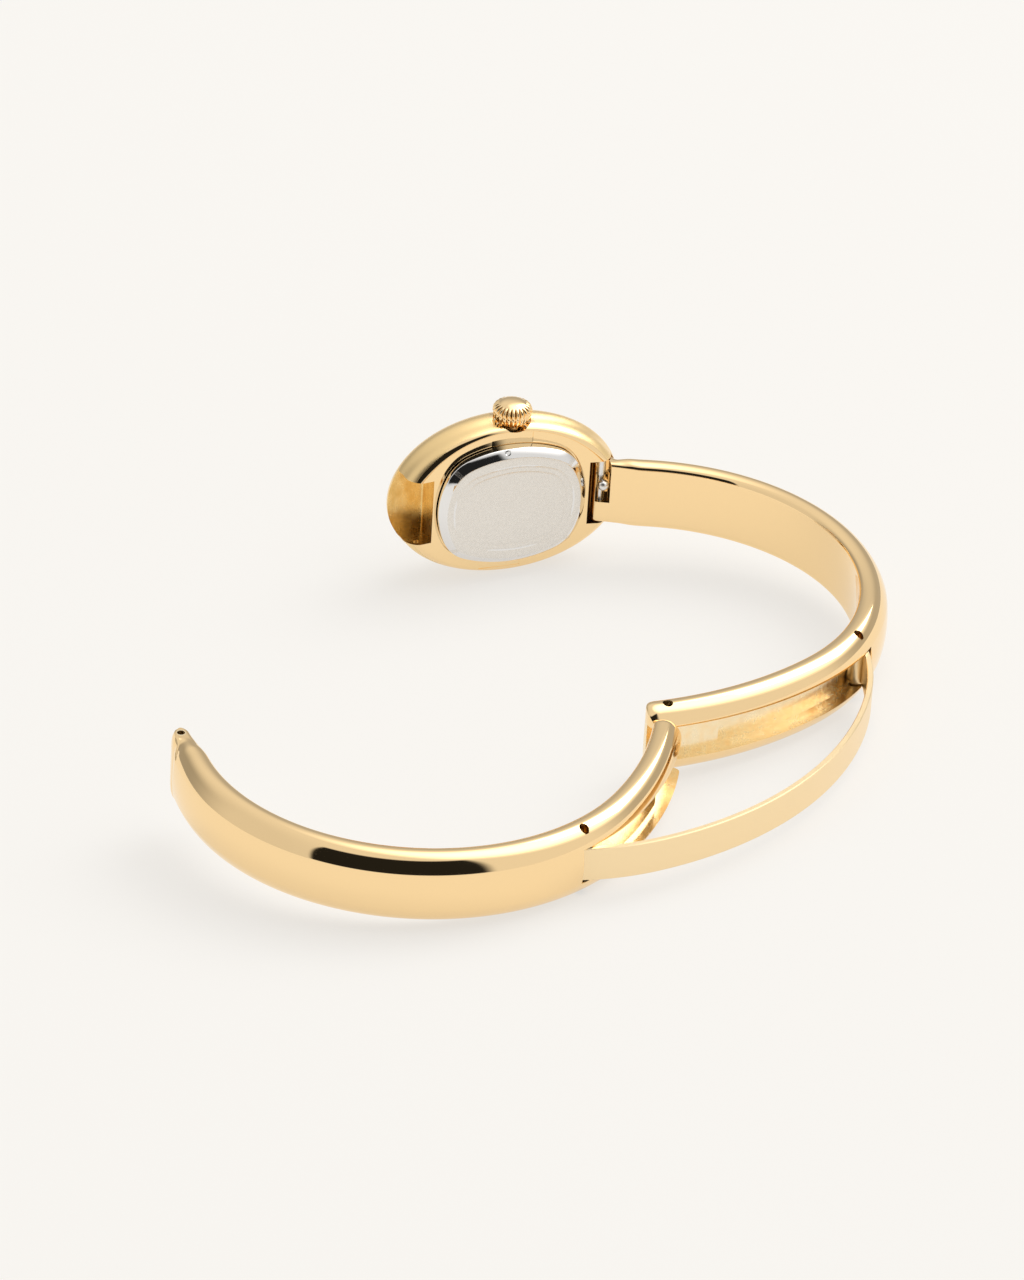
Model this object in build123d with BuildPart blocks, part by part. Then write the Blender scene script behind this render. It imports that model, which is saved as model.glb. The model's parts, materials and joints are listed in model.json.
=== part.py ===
from build123d import *
import os
from math import asin, atan2, cos, degrees, hypot, pi, radians, sin, sqrt

os.makedirs("parts", exist_ok=True)

# Bangle watch, lying open on its side on a table.
# Every piece is drawn in the closed watch's own frame: the origin is the middle of the head on
# the line of the lug bars, X runs to twelve o'clock, Y runs out through the dial and Z to the
# crown. Each body is then swung to its open place, and the whole is laid on the table.

# Inner line of the closed bangle: a side bend on each arm, and one flatter bend at the clasp.
# The inner line's height is the one at the lug bar.
side_radius = 21.7
side_centre_x = 7.15
inner_line_y = -1.52
clasp_radius = 37.0

# Arm section: flat inner face, round flanks, a crease, and a gently crowned outer band
arm_thickness = 3.15
crease_height = 2.95
inner_half_width = 3.5
band_half_width = 2.05
flank_bulge = 0.95
tongue_half_width = 3.6
barrel_radius = 0.95
barrel_heel_reach = 0.7
neck_radius = 1.1
neck_reach = 1.35
neck_depth = 0.22
upper_tip_x = -1.7
lower_tip_x = 3.1
tip_round = 1.15

# Clasp hinges, one on each arm, and the strip that joins them
hinge_angle = 134.0
hinge_depth = 1.3
open_angle = 35.6
stop_slack = 1.2
pin_radius = 0.5
pin_half_length = 3.2
knuckle_radius = 1.0
blade_tail = 0.9
blade_thickness = 1.0
blade_half_width = 1.83

# Running gaps
running_gap = 0.04
seat_gap = 0.1
pass_gap = 0.3
overrun = 2.0

# Channel in each arm's outer band, and the deeper relief in its floor
relief_depth = 0.75
relief_half_width = 1.4
relief_end = 7.5
nose_length = 1.1
tip_pocket_length = 1.3
tip_wall = 0.7
tip_hole_radius = 0.53
tip_hole_set_back = 2.2
tip_hole_rise = 1.2

# Watch case, an oval dome with its back rim hollowed to the wrist
case_half_length = 12.7
case_half_width = 9.05
case_bottom = -0.9
case_top = 6.3
case_height_shares = (0, 0.18, 0.375, 0.522, 0.75, 0.917, 1)
case_length_shares = (0.872, 0.97, 0.99, 1, 0.935, 0.822, 0.74)
case_width_shares = (0.71, 0.925, 0.978, 1, 0.945, 0.84, 0.768)
rim_height = 0.45
rim_radius = 65.0
recess_set_back = 4.07
recess_half_width = 3.73
oval_corner_share = 0.78
oval_round_share = 0.6

# Lug bar with its finger ball, and the lug holes
bar_set_back = 2.6
bar_y = 0.5
lug_hole_radius = 0.35
lug_hole_depth = 0.3
end_bore_radius = 0.4
bar_tip_radius = 0.29
bar_tip_length = 0.25
bar_rod_radius = 0.35
bar_shoulder_radius = 0.5
bar_sleeve_wall = 0.12
bar_sleeve_length = 2.5
bar_shoulder_low = 1.9
bar_rod_low = -2.1
bar_travel = 0.85
spring_radius = 0.3
spring_bore_radius = 0.16
finger_ball_radius = 0.6
finger_neck_radius = 0.22
finger_ball_height = 1.0
finger_slot_low = -1.1

# Sprung bolt in the lower arm's clasp tip
bolt_set_back = 3.4
bolt_radius = 0.4
bolt_depth = 1.0
bolt_length = 3.0
bolt_travel = 0.6
bolt_ball_radius = 0.42
bolt_neck_radius = 0.2

# Case back with its groove ring, and what it closes
back_half_length = 8.15
back_half_width = 6.85
back_face_inset = 0.5
back_face_y = -1.25
back_seat_y = 0.6
back_plug_height = 0.5
back_ring_half_length = 6.4
back_ring_half_width = 4.75
back_ring_width = 0.2
back_ring_spacing = 0.55
back_ring_depth = 0.08
cavity_half_length = 7.5
cavity_half_width = 6.2

# Dial, crystal and the opening over the dial
dial_top = 4.45
dial_thickness = 0.35
window_half_length = 7.0
window_half_width = 5.7
crystal_seat = 5.4
crystal_half_length = 7.9
crystal_half_width = 6.3
crystal_edge = 0.75
crystal_rise = 0.75
gasket_width = 0.2

# Movement
plate_bottom = 2.0
plate_top = 3.4
plate_half_length = 6.5
plate_half_width = 5.2
battery_radius = 2.85
battery_bottom = 1.5
battery_height = 1.55
battery_x = -3.1
clip_half_width = 0.6
sheet = 0.2
coil_x = 3.9
coil_y = 2.62
coil_radius = 0.58
coil_half_length = 2.4
board_half_length = 2.0
board_half_width = 3.2

# Motion work: pitch radii give one turn of the hour wheel to twelve of the cannon pinion
cannon_pitch = 0.45
minute_wheel_pitch = 1.35
minute_pinion_pitch = 0.36
hour_wheel_pitch = 1.44
wheel_thickness = 0.18
wheel_gap = 0.06
mesh_gap = 0.04
pipe_radius = 0.25
hour_pipe_radius = 0.45
hand_thickness = 0.14
hour_hand_length = 3.3
minute_hand_length = 4.9
hand_root_width = 0.6
hand_tip_width = 0.16
hub_radius = 0.55
hour_hand_hour = 10.17
minute_hand_hour = 2.0

# Crown, stem, tube and the pinion that the stem slides in
stem_x = 0.45
stem_y = 2.3
stem_radius = 0.35
stem_low_z = 4.4
tube_radius = 0.8
tube_low_z = 6.6
tube_high_z = 9.47
crown_base_z = 8.47
crown_height = 2.5
crown_radius = 2.1
crown_foot_radius = 1.65
crown_shoulder_share = 0.78
crown_waist_share = 0.44
crown_rib_count = 28
crown_rib_radius = 0.15
crown_bore_depth = 1.3
crown_travel = 0.8
crown_scoop_radius = 2.35
crown_scoop_z = 8.15
pinion_radius = 0.62
pinion_length = 0.7

# How the open watch lies: turned to face the viewer, and leaning on the head and both arms
head_x = -1.055
head_y = 27.985
yaw_angle = 20.26
lean_angle = 5.75
lean_axis = (0.62, 0.78, 0)


def level(height):
    """Plane across the head at a height along Y, its own axes running along X and Z."""
    return Plane.XZ.offset(-height)


def polar(centre, radius, angle):
    """Point at a radius, and at an angle measured from +Y towards +X."""
    return (centre[0] + radius * sin(radians(angle)), centre[1] + radius * cos(radians(angle)))


def radial_plane(centre, angle):
    """Upright plane through a bend's axis, its X running outwards and its Y along the axis."""
    outwards = (sin(radians(angle)), cos(radians(angle)), 0)
    along = (cos(radians(angle)), -sin(radians(angle)), 0)
    return Plane(origin=(centre[0], centre[1], 0), x_dir=outwards, z_dir=along)


def clasp_angle(x):
    """Angle round the clasp bend's centre of the inner line's point at a given X."""
    return 180 - degrees(asin(x / clasp_radius))


# Places that follow from the case's end, and centres and angles that follow from the bends
bar_x = case_half_length - bar_set_back
recess_wall_x = case_half_length - recess_set_back
barrel_heel_x = case_half_length + barrel_heel_reach
neck_x = bar_x + neck_reach
side_centre_y = inner_line_y - sqrt(side_radius**2 - (bar_x - side_centre_x) ** 2)
side_centre = (side_centre_x, side_centre_y)
clasp_centre = (0, side_centre_y + sqrt((clasp_radius - side_radius) ** 2 - side_centre_x**2))
bend_change = 180 - degrees(asin(side_centre_x / (clasp_radius - side_radius)))
pin_rise = arm_thickness - hinge_depth
hinge_point = polar(side_centre, side_radius + pin_rise, hinge_angle)
channel_floor = crease_height - blade_thickness - seat_gap
channel_half = blade_half_width + seat_gap
tail_angle = hinge_angle - degrees(atan2(blade_tail, side_radius + crease_height))
channel_start = tail_angle - degrees(seat_gap / 2 / (side_radius + crease_height))
pocket_radius = knuckle_radius + seat_gap
tongue_top = bar_y + barrel_radius
recess_ceiling = tongue_top + seat_gap
far_line = arm_thickness + overrun
far_half = inner_half_width + overrun
far_length = case_half_length + 2 * side_radius
bar_bore_radius = bar_shoulder_radius + running_gap
cavity_top = dial_top


def arm_section(centre, radius, angle):
    """Section of an arm at its bend's inner radius."""
    crease = radius + crease_height
    mid_r = radius + crease_height / 2
    mid_z = (inner_half_width + band_half_width) / 2
    chord = hypot(crease_height, inner_half_width - band_half_width)
    push_r = mid_r + flank_bulge * (inner_half_width - band_half_width) / chord
    push_z = mid_z + flank_bulge * crease_height / chord
    with BuildSketch(radial_plane(centre, angle)) as section:
        with BuildLine() as outline:
            Line((radius, -inner_half_width), (radius, inner_half_width))
            ThreePointArc((radius, inner_half_width), (push_r, push_z), (crease, band_half_width))
            ThreePointArc((crease, band_half_width), (radius + arm_thickness, 0), (crease, -band_half_width))
            ThreePointArc((crease, -band_half_width), (push_r, -push_z), (radius, -inner_half_width))
        make_face(outline.edges())
    return section.sketch


def strip_section(centre, radius, angle, low, high, half_width):
    """Plain rectangular section between two heights over a bend's inner radius."""
    with BuildSketch(radial_plane(centre, angle)) as section:
        with Locations((radius + (low + high) / 2, 0)):
            Rectangle(high - low, 2 * half_width)
    return section.sketch


def round_bend(section, centre, sweep, mode=Mode.ADD):
    """Turns a section clockwise round a bend's axis."""
    axis = Axis((centre[0], centre[1], 0), (0, 0, -1))
    return revolve(section, axis=axis, revolution_arc=sweep, mode=mode)


def strip_along(start, low, high, half_width, stop, mode=Mode.ADD):
    """Carries a strip from a start on the side bend on to a stop on the clasp bend."""
    first = strip_section(side_centre, side_radius, start, low, high, half_width)
    round_bend(first, side_centre, bend_change - start, mode)
    second = strip_section(clasp_centre, clasp_radius, bend_change, low, high, half_width)
    round_bend(second, clasp_centre, stop - bend_change, mode)


def disc(point, radius):
    """Round face on the mid plane."""
    with BuildSketch() as face:
        with Locations(point):
            Circle(radius)
    return face.sketch


def hinge_polygon(places):
    """Face given by places beside the hinge pin: distance towards the head, and outwards."""
    base = radians(hinge_angle)
    ahead = Vector(-cos(base), sin(base))
    outwards = Vector(sin(base), cos(base))
    points = [Vector(*hinge_point) + ahead * along + outwards * rise for along, rise in places]
    with BuildSketch() as face:
        with BuildLine() as outline:
            Polyline(*points, close=True)
        make_face(outline.edges())
    return face.sketch


def tail_room():
    """Round pocket that the strip's tail sweeps, ending where the opened tail's face stops."""
    turn = radians(open_angle + stop_slack)
    stop_level = (blade_tail + far_line * sin(turn)) / cos(turn)
    with BuildSketch() as room:
        add(hinge_polygon(((0, 0), (0, far_line), (stop_level, far_line), (blade_tail / cos(turn), 0))))
        with Locations(hinge_point):
            Circle(hypot(blade_tail, crease_height - pin_rise) + seat_gap / 2, mode=Mode.INTERSECT)
    return room.sketch


def tip_corner(stop, radius, side):
    """What rounding takes off a clasp tip's inner corner (side 1) or outer corner (side -1)."""
    distance = radius + side * tip_round
    back = stop - degrees(asin(tip_round / distance))
    middle = Vector(*polar(clasp_centre, distance, back))
    ahead = Vector(cos(radians(stop)), -sin(radians(stop))) * (2 * tip_round)
    across = Vector(sin(radians(back)), cos(radians(back))) * (-side * 2 * tip_round)
    with BuildSketch() as corner:
        with BuildLine() as outline:
            Polyline(middle, middle + ahead, middle + ahead + across, middle + across, close=True)
        make_face(outline.edges())
        with Locations(middle):
            Circle(tip_round, mode=Mode.SUBTRACT)
    return corner.sketch


def tongue_outline():
    """Face that an arm is trimmed to: a barrel round the lug bar, tangent to the heel inside."""
    barrel = Vector(bar_x, bar_y)
    heel_y = side_centre_y + sqrt(side_radius**2 - (barrel_heel_x - side_centre_x) ** 2)
    heel = Vector(barrel_heel_x, heel_y)
    reach = (barrel - heel).length
    swing = degrees(asin(barrel_radius / reach))
    touch = heel + (barrel - heel).normalized().rotate(Axis.Z, swing) * sqrt(reach**2 - barrel_radius**2)
    with BuildSketch() as kept:
        with BuildLine() as outline:
            Polyline(touch, heel, (barrel_heel_x, tongue_top), (bar_x, tongue_top), close=True)
        make_face(outline.edges())
        with Locations(barrel):
            Circle(barrel_radius)
        with Locations((barrel_heel_x, tongue_top)):
            Rectangle(far_length, 2 * far_length, align=(Align.MIN, Align.MAX))
        with Locations((barrel_heel_x, -side_radius)):
            Rectangle(2 * far_length, 2 * far_length, align=(Align.CENTER, Align.MAX))
    return kept.sketch


def arm_blank(tip_x):
    """An arm on the twelve o'clock side, from its lug tongue to its clasp tip."""
    start = degrees(asin((recess_wall_x - side_centre_x) / side_radius))
    tip_angle = clasp_angle(tip_x)
    with BuildPart() as blank:
        round_bend(arm_section(side_centre, side_radius, start), side_centre, bend_change - start)
        round_bend(arm_section(clasp_centre, clasp_radius, bend_change), clasp_centre, tip_angle - bend_change)
        for radius, side in ((clasp_radius, 1), (clasp_radius + arm_thickness, -1)):
            extrude(tip_corner(tip_angle, radius, side), amount=far_half, both=True, mode=Mode.SUBTRACT)
        # Channel for the strip, the relief in its floor, and the pocket behind the nose
        nose_angle = clasp_angle(tip_x + nose_length)
        past_tip = clasp_angle(tip_x - overrun)
        strip_along(channel_start, channel_floor, far_line, channel_half, past_tip, Mode.SUBTRACT)
        relief_stop = clasp_angle(tip_x + relief_end)
        strip_along(hinge_angle, channel_floor - relief_depth, far_line, relief_half_width,
                    relief_stop, Mode.SUBTRACT)
        pocket_angle = clasp_angle(tip_x + nose_length + tip_pocket_length)
        pocket = strip_section(clasp_centre, clasp_radius, pocket_angle, tip_wall, far_line, relief_half_width)
        round_bend(pocket, clasp_centre, nose_angle - pocket_angle, Mode.SUBTRACT)
        # Room round the pin for the knuckle, and for the strip's tail as it swings down
        extrude(disc(hinge_point, pocket_radius), amount=channel_half, both=True, mode=Mode.SUBTRACT)
        extrude(tail_room(), amount=channel_half, both=True, mode=Mode.SUBTRACT)
        # Hole for the hinge pin
        extrude(disc(hinge_point, pin_radius), amount=far_half, both=True, mode=Mode.SUBTRACT)
        # Tongue that seats under the case's lip, with a barrel round the lug bar and a neck
        extrude(tongue_outline(), amount=far_half, both=True, mode=Mode.INTERSECT)
        neck = (neck_x, tongue_top + neck_radius - neck_depth)
        extrude(disc(neck, neck_radius), amount=far_half, both=True, mode=Mode.SUBTRACT)
        for side in (1, -1):
            with BuildSketch(Plane.XY.offset(side * tongue_half_width)):
                Rectangle(2 * case_half_length, 2 * far_line)
            extrude(amount=side * overrun, mode=Mode.SUBTRACT)
    return blank.part


def oval(half_length, half_width):
    """Barrel-sided oval, added to the sketch at hand."""
    corner_x = oval_corner_share * half_length
    corner_z = oval_corner_share * half_width
    with BuildSketch() as face:
        with BuildLine() as outline:
            ThreePointArc((-corner_x, corner_z), (0, half_width), (corner_x, corner_z))
            ThreePointArc((corner_x, corner_z), (half_length, 0), (corner_x, -corner_z))
            ThreePointArc((corner_x, -corner_z), (0, -half_width), (-corner_x, -corner_z))
            ThreePointArc((-corner_x, -corner_z), (-half_length, 0), (-corner_x, corner_z))
        make_face(outline.edges())
        fillet(face.vertices(), radius=oval_round_share * half_width)
    return face.sketch


def oval_plate(half_length, half_width, low, high, mode=Mode.ADD):
    """Oval plate between two heights along Y."""
    with BuildSketch(level(low)) as face:
        add(oval(half_length, half_width))
    return extrude(face.sketch, amount=low - high, mode=mode)


def round_plate(x, z, radius, low, high, mode=Mode.ADD):
    """Round plate between two heights along Y."""
    with BuildSketch(level(low)) as face:
        with Locations((x, z)):
            Circle(radius)
    return extrude(face.sketch, amount=low - high, mode=mode)


def block(x, z, half_x, half_z, low, high, mode=Mode.ADD):
    """Block between two heights along Y."""
    with BuildSketch(level(low)) as face:
        with Locations((x, z)):
            Rectangle(2 * half_x, 2 * half_z)
    return extrude(face.sketch, amount=low - high, mode=mode)


def rod(x, y, radius, low, high, mode=Mode.ADD):
    """Round rod along Z between two heights."""
    with BuildSketch(Plane.XY.offset(low)) as face:
        with Locations((x, y)):
            Circle(radius)
    return extrude(face.sketch, amount=high - low, mode=mode)


# Watch case
case_height = case_top - case_bottom
with BuildPart() as case_body:
    for rise, length_share, width_share in zip(case_height_shares, case_length_shares, case_width_shares):
        with BuildSketch(level(case_bottom + case_height * rise)):
            Ellipse(case_half_length * length_share, case_half_width * width_share)
    loft()
    # Back rim hollowed to the wrist
    with BuildSketch():
        with Locations((0, rim_height - rim_radius)):
            Circle(rim_radius)
    extrude(amount=case_half_width + overrun, both=True, mode=Mode.SUBTRACT)
    # Recess at each end for the arm's tongue, with a lug hole in each cheek
    for end in (1, -1):
        centre = end * (recess_wall_x + case_half_length) / 2
        half = (case_half_length - recess_wall_x) / 2
        block(centre + end * overrun, 0, half + overrun, recess_half_width,
              case_bottom - overrun, recess_ceiling, Mode.SUBTRACT)
        reach = recess_half_width + lug_hole_depth
        rod(end * bar_x, bar_y, lug_hole_radius, -reach, reach, Mode.SUBTRACT)
    # Seat of the case back, movement space, dial opening and crystal seat
    oval_plate(back_half_length + seat_gap, back_half_width + seat_gap,
               case_bottom - overrun, back_seat_y, Mode.SUBTRACT)
    oval_plate(cavity_half_length, cavity_half_width, case_bottom, cavity_top, Mode.SUBTRACT)
    oval_plate(window_half_length, window_half_width, case_bottom, case_top + overrun, Mode.SUBTRACT)
    oval_plate(crystal_half_length + gasket_width, crystal_half_width + gasket_width,
               crystal_seat, case_top + overrun, Mode.SUBTRACT)
    # Crown scoop, tube hole and stem hole
    rod(stem_x, stem_y, crown_scoop_radius, crown_scoop_z, case_half_width + overrun, Mode.SUBTRACT)
    rod(stem_x, stem_y, tube_radius, tube_low_z, case_half_width + overrun, Mode.SUBTRACT)
    rod(stem_x, stem_y, stem_radius + seat_gap, cavity_half_width - overrun, tube_low_z, Mode.SUBTRACT)

with BuildPart() as crystal_gasket:
    oval_plate(crystal_half_length + gasket_width, crystal_half_width + gasket_width,
               crystal_seat, crystal_seat + crystal_edge)
    oval_plate(crystal_half_length, crystal_half_width, crystal_seat, crystal_seat + crystal_edge, Mode.SUBTRACT)

with BuildPart() as crystal:
    oval_plate(crystal_half_length, crystal_half_width, crystal_seat, crystal_seat + crystal_edge + crystal_rise)
    dome_radius = (crystal_half_length**2 + crystal_rise**2) / (2 * crystal_rise)
    dome_y = crystal_seat + crystal_edge + crystal_rise - dome_radius
    with BuildSketch() as dome_side:
        with Locations((0, dome_y)):
            Circle(dome_radius)
    extrude(dome_side.sketch, amount=crystal_half_width, both=True, mode=Mode.INTERSECT)

with BuildPart() as dial:
    oval_plate(cavity_half_length - seat_gap, cavity_half_width - seat_gap, dial_top - dial_thickness, dial_top)
    round_plate(0, 0, hour_pipe_radius + seat_gap, dial_top - overrun, dial_top, Mode.SUBTRACT)

# Case back: a drafted oval cup with a plug, a groove ring and a gasket round the plug
with BuildPart() as caseback:
    with BuildSketch(level(back_face_y)):
        add(oval(back_half_length - back_face_inset, back_half_width - back_face_inset))
    with BuildSketch(level(0)):
        add(oval(back_half_length, back_half_width))
    loft()
    oval_plate(back_half_length, back_half_width, 0, back_seat_y)
    oval_plate(cavity_half_length - gasket_width, cavity_half_width - gasket_width,
               back_seat_y, back_seat_y + back_plug_height)
    for inset in (0, back_ring_spacing):
        ring_length = back_ring_half_length - inset
        ring_width = back_ring_half_width - inset
        oval_plate(ring_length, ring_width, back_face_y, back_face_y + back_ring_depth, Mode.SUBTRACT)
        oval_plate(ring_length - back_ring_width, ring_width - back_ring_width,
                   back_face_y, back_face_y + back_ring_depth)

with BuildPart() as caseback_gasket:
    oval_plate(cavity_half_length, cavity_half_width, back_seat_y, back_seat_y + back_plug_height)
    oval_plate(cavity_half_length - gasket_width, cavity_half_width - gasket_width,
               back_seat_y, back_seat_y + back_plug_height, Mode.SUBTRACT)

# Movement: holder ring, main plate with its pockets, cell, clip, coil and circuit board
holder_low = back_seat_y + back_plug_height
dial_bottom = dial_top - dial_thickness
with BuildPart() as movement_holder:
    oval_plate(cavity_half_length - seat_gap, cavity_half_width - seat_gap, holder_low, dial_bottom)
    oval_plate(plate_half_length + seat_gap, plate_half_width + seat_gap, holder_low, dial_bottom, Mode.SUBTRACT)
    rod(stem_x, stem_y, tube_radius, plate_half_width - overrun, cavity_half_width + overrun, Mode.SUBTRACT)

battery_top = battery_bottom + battery_height
with BuildPart() as movement_plate:
    oval_plate(plate_half_length, plate_half_width, plate_bottom, plate_top)
    round_plate(battery_x, 0, battery_radius + seat_gap, plate_bottom - overrun, battery_top, Mode.SUBTRACT)
    block(coil_x, 0, coil_radius + seat_gap, coil_half_length + seat_gap,
          plate_bottom - overrun, coil_y + coil_radius, Mode.SUBTRACT)
    rod(stem_x, stem_y, pinion_radius + seat_gap, stem_low_z - seat_gap, plate_half_width + overrun, Mode.SUBTRACT)

with BuildPart() as battery:
    round_plate(battery_x, 0, battery_radius, battery_bottom, battery_top)
    fillet(battery.edges().group_by(Axis.Y)[0], radius=seat_gap)

clip_reach = battery_radius + clip_half_width
with BuildPart() as battery_clip:
    block(battery_x, 0, clip_reach, clip_half_width, battery_bottom - sheet, battery_bottom)
    block(battery_x + clip_reach - sheet / 2, 0, sheet / 2, clip_half_width, battery_bottom - sheet, plate_bottom)

with BuildPart() as coil:
    rod(coil_x, coil_y, coil_radius, -coil_half_length, coil_half_length)

with BuildPart() as circuit_board:
    block(coil_x, 0, board_half_length, board_half_width, plate_bottom - sheet, plate_bottom)

# Motion work and hands
wheel_low = plate_top + wheel_gap
hour_wheel_low = wheel_low + wheel_thickness + wheel_gap
wheel_distance = cannon_pitch + minute_wheel_pitch
hour_hand_y = dial_top + pass_gap
minute_hand_y = hour_hand_y + hand_thickness + seat_gap
with BuildPart() as cannon_pinion:
    round_plate(0, 0, cannon_pitch - mesh_gap / 2, wheel_low, wheel_low + wheel_thickness)
    round_plate(0, 0, pipe_radius, wheel_low, minute_hand_y + hand_thickness)

with BuildPart() as minute_wheel:
    round_plate(wheel_distance, 0, minute_wheel_pitch - mesh_gap / 2, wheel_low, wheel_low + wheel_thickness)
    round_plate(wheel_distance, 0, minute_pinion_pitch - mesh_gap / 2,
                wheel_low, hour_wheel_low + wheel_thickness)

with BuildPart() as hour_wheel:
    round_plate(0, 0, hour_wheel_pitch - mesh_gap / 2, hour_wheel_low, hour_wheel_low + wheel_thickness)
    round_plate(0, 0, hour_pipe_radius, hour_wheel_low, hour_hand_y + hand_thickness)
    round_plate(0, 0, pipe_radius + running_gap, wheel_low, minute_hand_y, Mode.SUBTRACT)


def hand(length, low, hour, bore):
    """Tapered hand with a round hub, pointing to an hour, twelve being along X."""
    turn = -hour / 12 * 360
    with BuildSketch(level(low)) as face:
        with BuildLine(Rot(Z=turn)) as outline:
            Polyline((0, -hand_root_width / 2), (0, hand_root_width / 2),
                     (length, hand_tip_width / 2), (length, -hand_tip_width / 2), close=True)
        make_face(outline.edges())
        Circle(hub_radius)
        Circle(bore, mode=Mode.SUBTRACT)
    return extrude(face.sketch, amount=-hand_thickness)


with BuildPart() as hour_hand:
    hand(hour_hand_length, hour_hand_y, hour_hand_hour, hour_pipe_radius)

with BuildPart() as minute_hand:
    hand(minute_hand_length, minute_hand_y, minute_hand_hour, pipe_radius)

# Crown, stem, tube and pinion
crown_top_z = crown_base_z + crown_height
crown_bore_top = crown_base_z + crown_bore_depth
gasket_outer = tube_radius + gasket_width + running_gap
with BuildPart() as crown_tube:
    rod(stem_x, stem_y, tube_radius, tube_low_z, tube_high_z)
    rod(stem_x, stem_y, stem_radius + running_gap, tube_low_z, tube_high_z, Mode.SUBTRACT)

with BuildPart() as crown:
    waist_z = crown_base_z + crown_waist_share * crown_height
    shoulder_z = crown_base_z + crown_shoulder_share * crown_height
    with BuildSketch(Plane.YZ.offset(stem_x)):
        with BuildLine():
            Line((stem_y, crown_base_z), (stem_y + crown_foot_radius, crown_base_z))
            ThreePointArc((stem_y + crown_foot_radius, crown_base_z),
                          (stem_y + crown_radius, waist_z),
                          (stem_y + crown_foot_radius, shoulder_z))
            dome = (crown_foot_radius**2 + (crown_top_z - shoulder_z) ** 2) / (2 * (crown_top_z - shoulder_z))
            RadiusArc((stem_y + crown_foot_radius, shoulder_z), (stem_y, crown_top_z), -dome)
            Line((stem_y, crown_top_z), (stem_y, crown_base_z))
        make_face()
    revolve(axis=Axis((stem_x, stem_y, 0), (0, 0, 1)))
    with BuildSketch(Plane(origin=(stem_x, stem_y, crown_base_z))):
        with PolarLocations(crown_radius - crown_rib_radius / 2, crown_rib_count, start_angle=180 / crown_rib_count):
            Circle(crown_rib_radius)
    extrude(amount=crown_shoulder_share * crown_height, mode=Mode.SUBTRACT)
    rod(stem_x, stem_y, gasket_outer, crown_base_z, crown_bore_top, Mode.SUBTRACT)
    rod(stem_x, stem_y, stem_radius, crown_base_z, shoulder_z + gasket_width, Mode.SUBTRACT)

with BuildPart() as crown_gasket:
    rod(stem_x, stem_y, gasket_outer, crown_base_z + gasket_width, crown_base_z + pass_gap + 2 * gasket_width)
    rod(stem_x, stem_y, tube_radius + running_gap, crown_base_z, crown_top_z, Mode.SUBTRACT)

with BuildPart() as crown_stem:
    rod(stem_x, stem_y, stem_radius, stem_low_z, shoulder_z + gasket_width)

with BuildPart() as setting_pinion:
    rod(stem_x, stem_y, pinion_radius, stem_low_z, stem_low_z + pinion_length)
    rod(stem_x, stem_y, stem_radius + running_gap, stem_low_z - overrun, crown_base_z, Mode.SUBTRACT)

# Upper arm, with the bore and finger slot of its lug bar and the cross hole of its clasp tip
tip_hole = polar(clasp_centre, clasp_radius + tip_hole_rise, clasp_angle(upper_tip_x + tip_hole_set_back))
finger_slot_half = finger_ball_radius + seat_gap
with BuildPart() as upper_arm:
    add(arm_blank(upper_tip_x))
    rod(bar_x, bar_y, bar_bore_radius, -far_half, far_half, Mode.SUBTRACT)
    block(bar_x, (far_half + finger_slot_low) / 2, finger_slot_half, (far_half - finger_slot_low) / 2,
          inner_line_y - overrun, bar_y, Mode.SUBTRACT)
    extrude(disc(tip_hole, tip_hole_radius), amount=far_half, both=True, mode=Mode.SUBTRACT)

# Lug bar: a fixed sleeve with the lower tip, a plunger with the upper tip and ball, a spring
sleeve_low = -tongue_half_width
sleeve_radius = bar_rod_radius + running_gap + bar_sleeve_wall
spring_low = sleeve_low + bar_sleeve_wall
ball_y = bar_y - barrel_radius
with BuildPart() as bar_sleeve:
    rod(bar_x, bar_y, sleeve_radius, sleeve_low, sleeve_low + bar_sleeve_length)
    rod(bar_x, bar_y, bar_rod_radius + running_gap, spring_low, finger_slot_low + overrun, Mode.SUBTRACT)
    rod(bar_x, bar_y, bar_tip_radius, sleeve_low - bar_tip_length, spring_low)

with BuildPart() as bar_plunger:
    rod(bar_x, bar_y, bar_tip_radius, bar_shoulder_low, tongue_half_width + bar_tip_length)
    rod(bar_x, bar_y, bar_shoulder_radius, bar_shoulder_low, tongue_half_width)
    rod(bar_x, bar_y, bar_rod_radius, bar_rod_low, bar_shoulder_low)
    round_plate(bar_x, finger_ball_height, finger_neck_radius, ball_y, bar_y)
    with Locations((bar_x, ball_y, finger_ball_height)):
        Sphere(finger_ball_radius)

with BuildPart() as bar_spring:
    rod(bar_x, bar_y, spring_radius, spring_low, bar_rod_low)
    rod(bar_x, bar_y, spring_bore_radius, spring_low, bar_rod_low, Mode.SUBTRACT)

# Hinge pins
with BuildPart() as upper_hinge_pin:
    extrude(disc(hinge_point, pin_radius), amount=pin_half_length, both=True)

with BuildPart() as lower_hinge_pin:
    extrude(disc(hinge_point, pin_radius), amount=pin_half_length, both=True)
    mirror(about=Plane.YZ, mode=Mode.REPLACE)

# Folding strip, one half drawn and mirrored: it follows both bends and has a knuckle at each pin
with BuildPart() as clasp_blade:
    strip_along(tail_angle, crease_height - blade_thickness, crease_height, blade_half_width, 180)
    extrude(disc(hinge_point, knuckle_radius), amount=blade_half_width, both=True)
    extrude(disc(hinge_point, pin_radius + running_gap), amount=far_half, both=True, mode=Mode.SUBTRACT)
    mirror(about=Plane.YZ)

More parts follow.
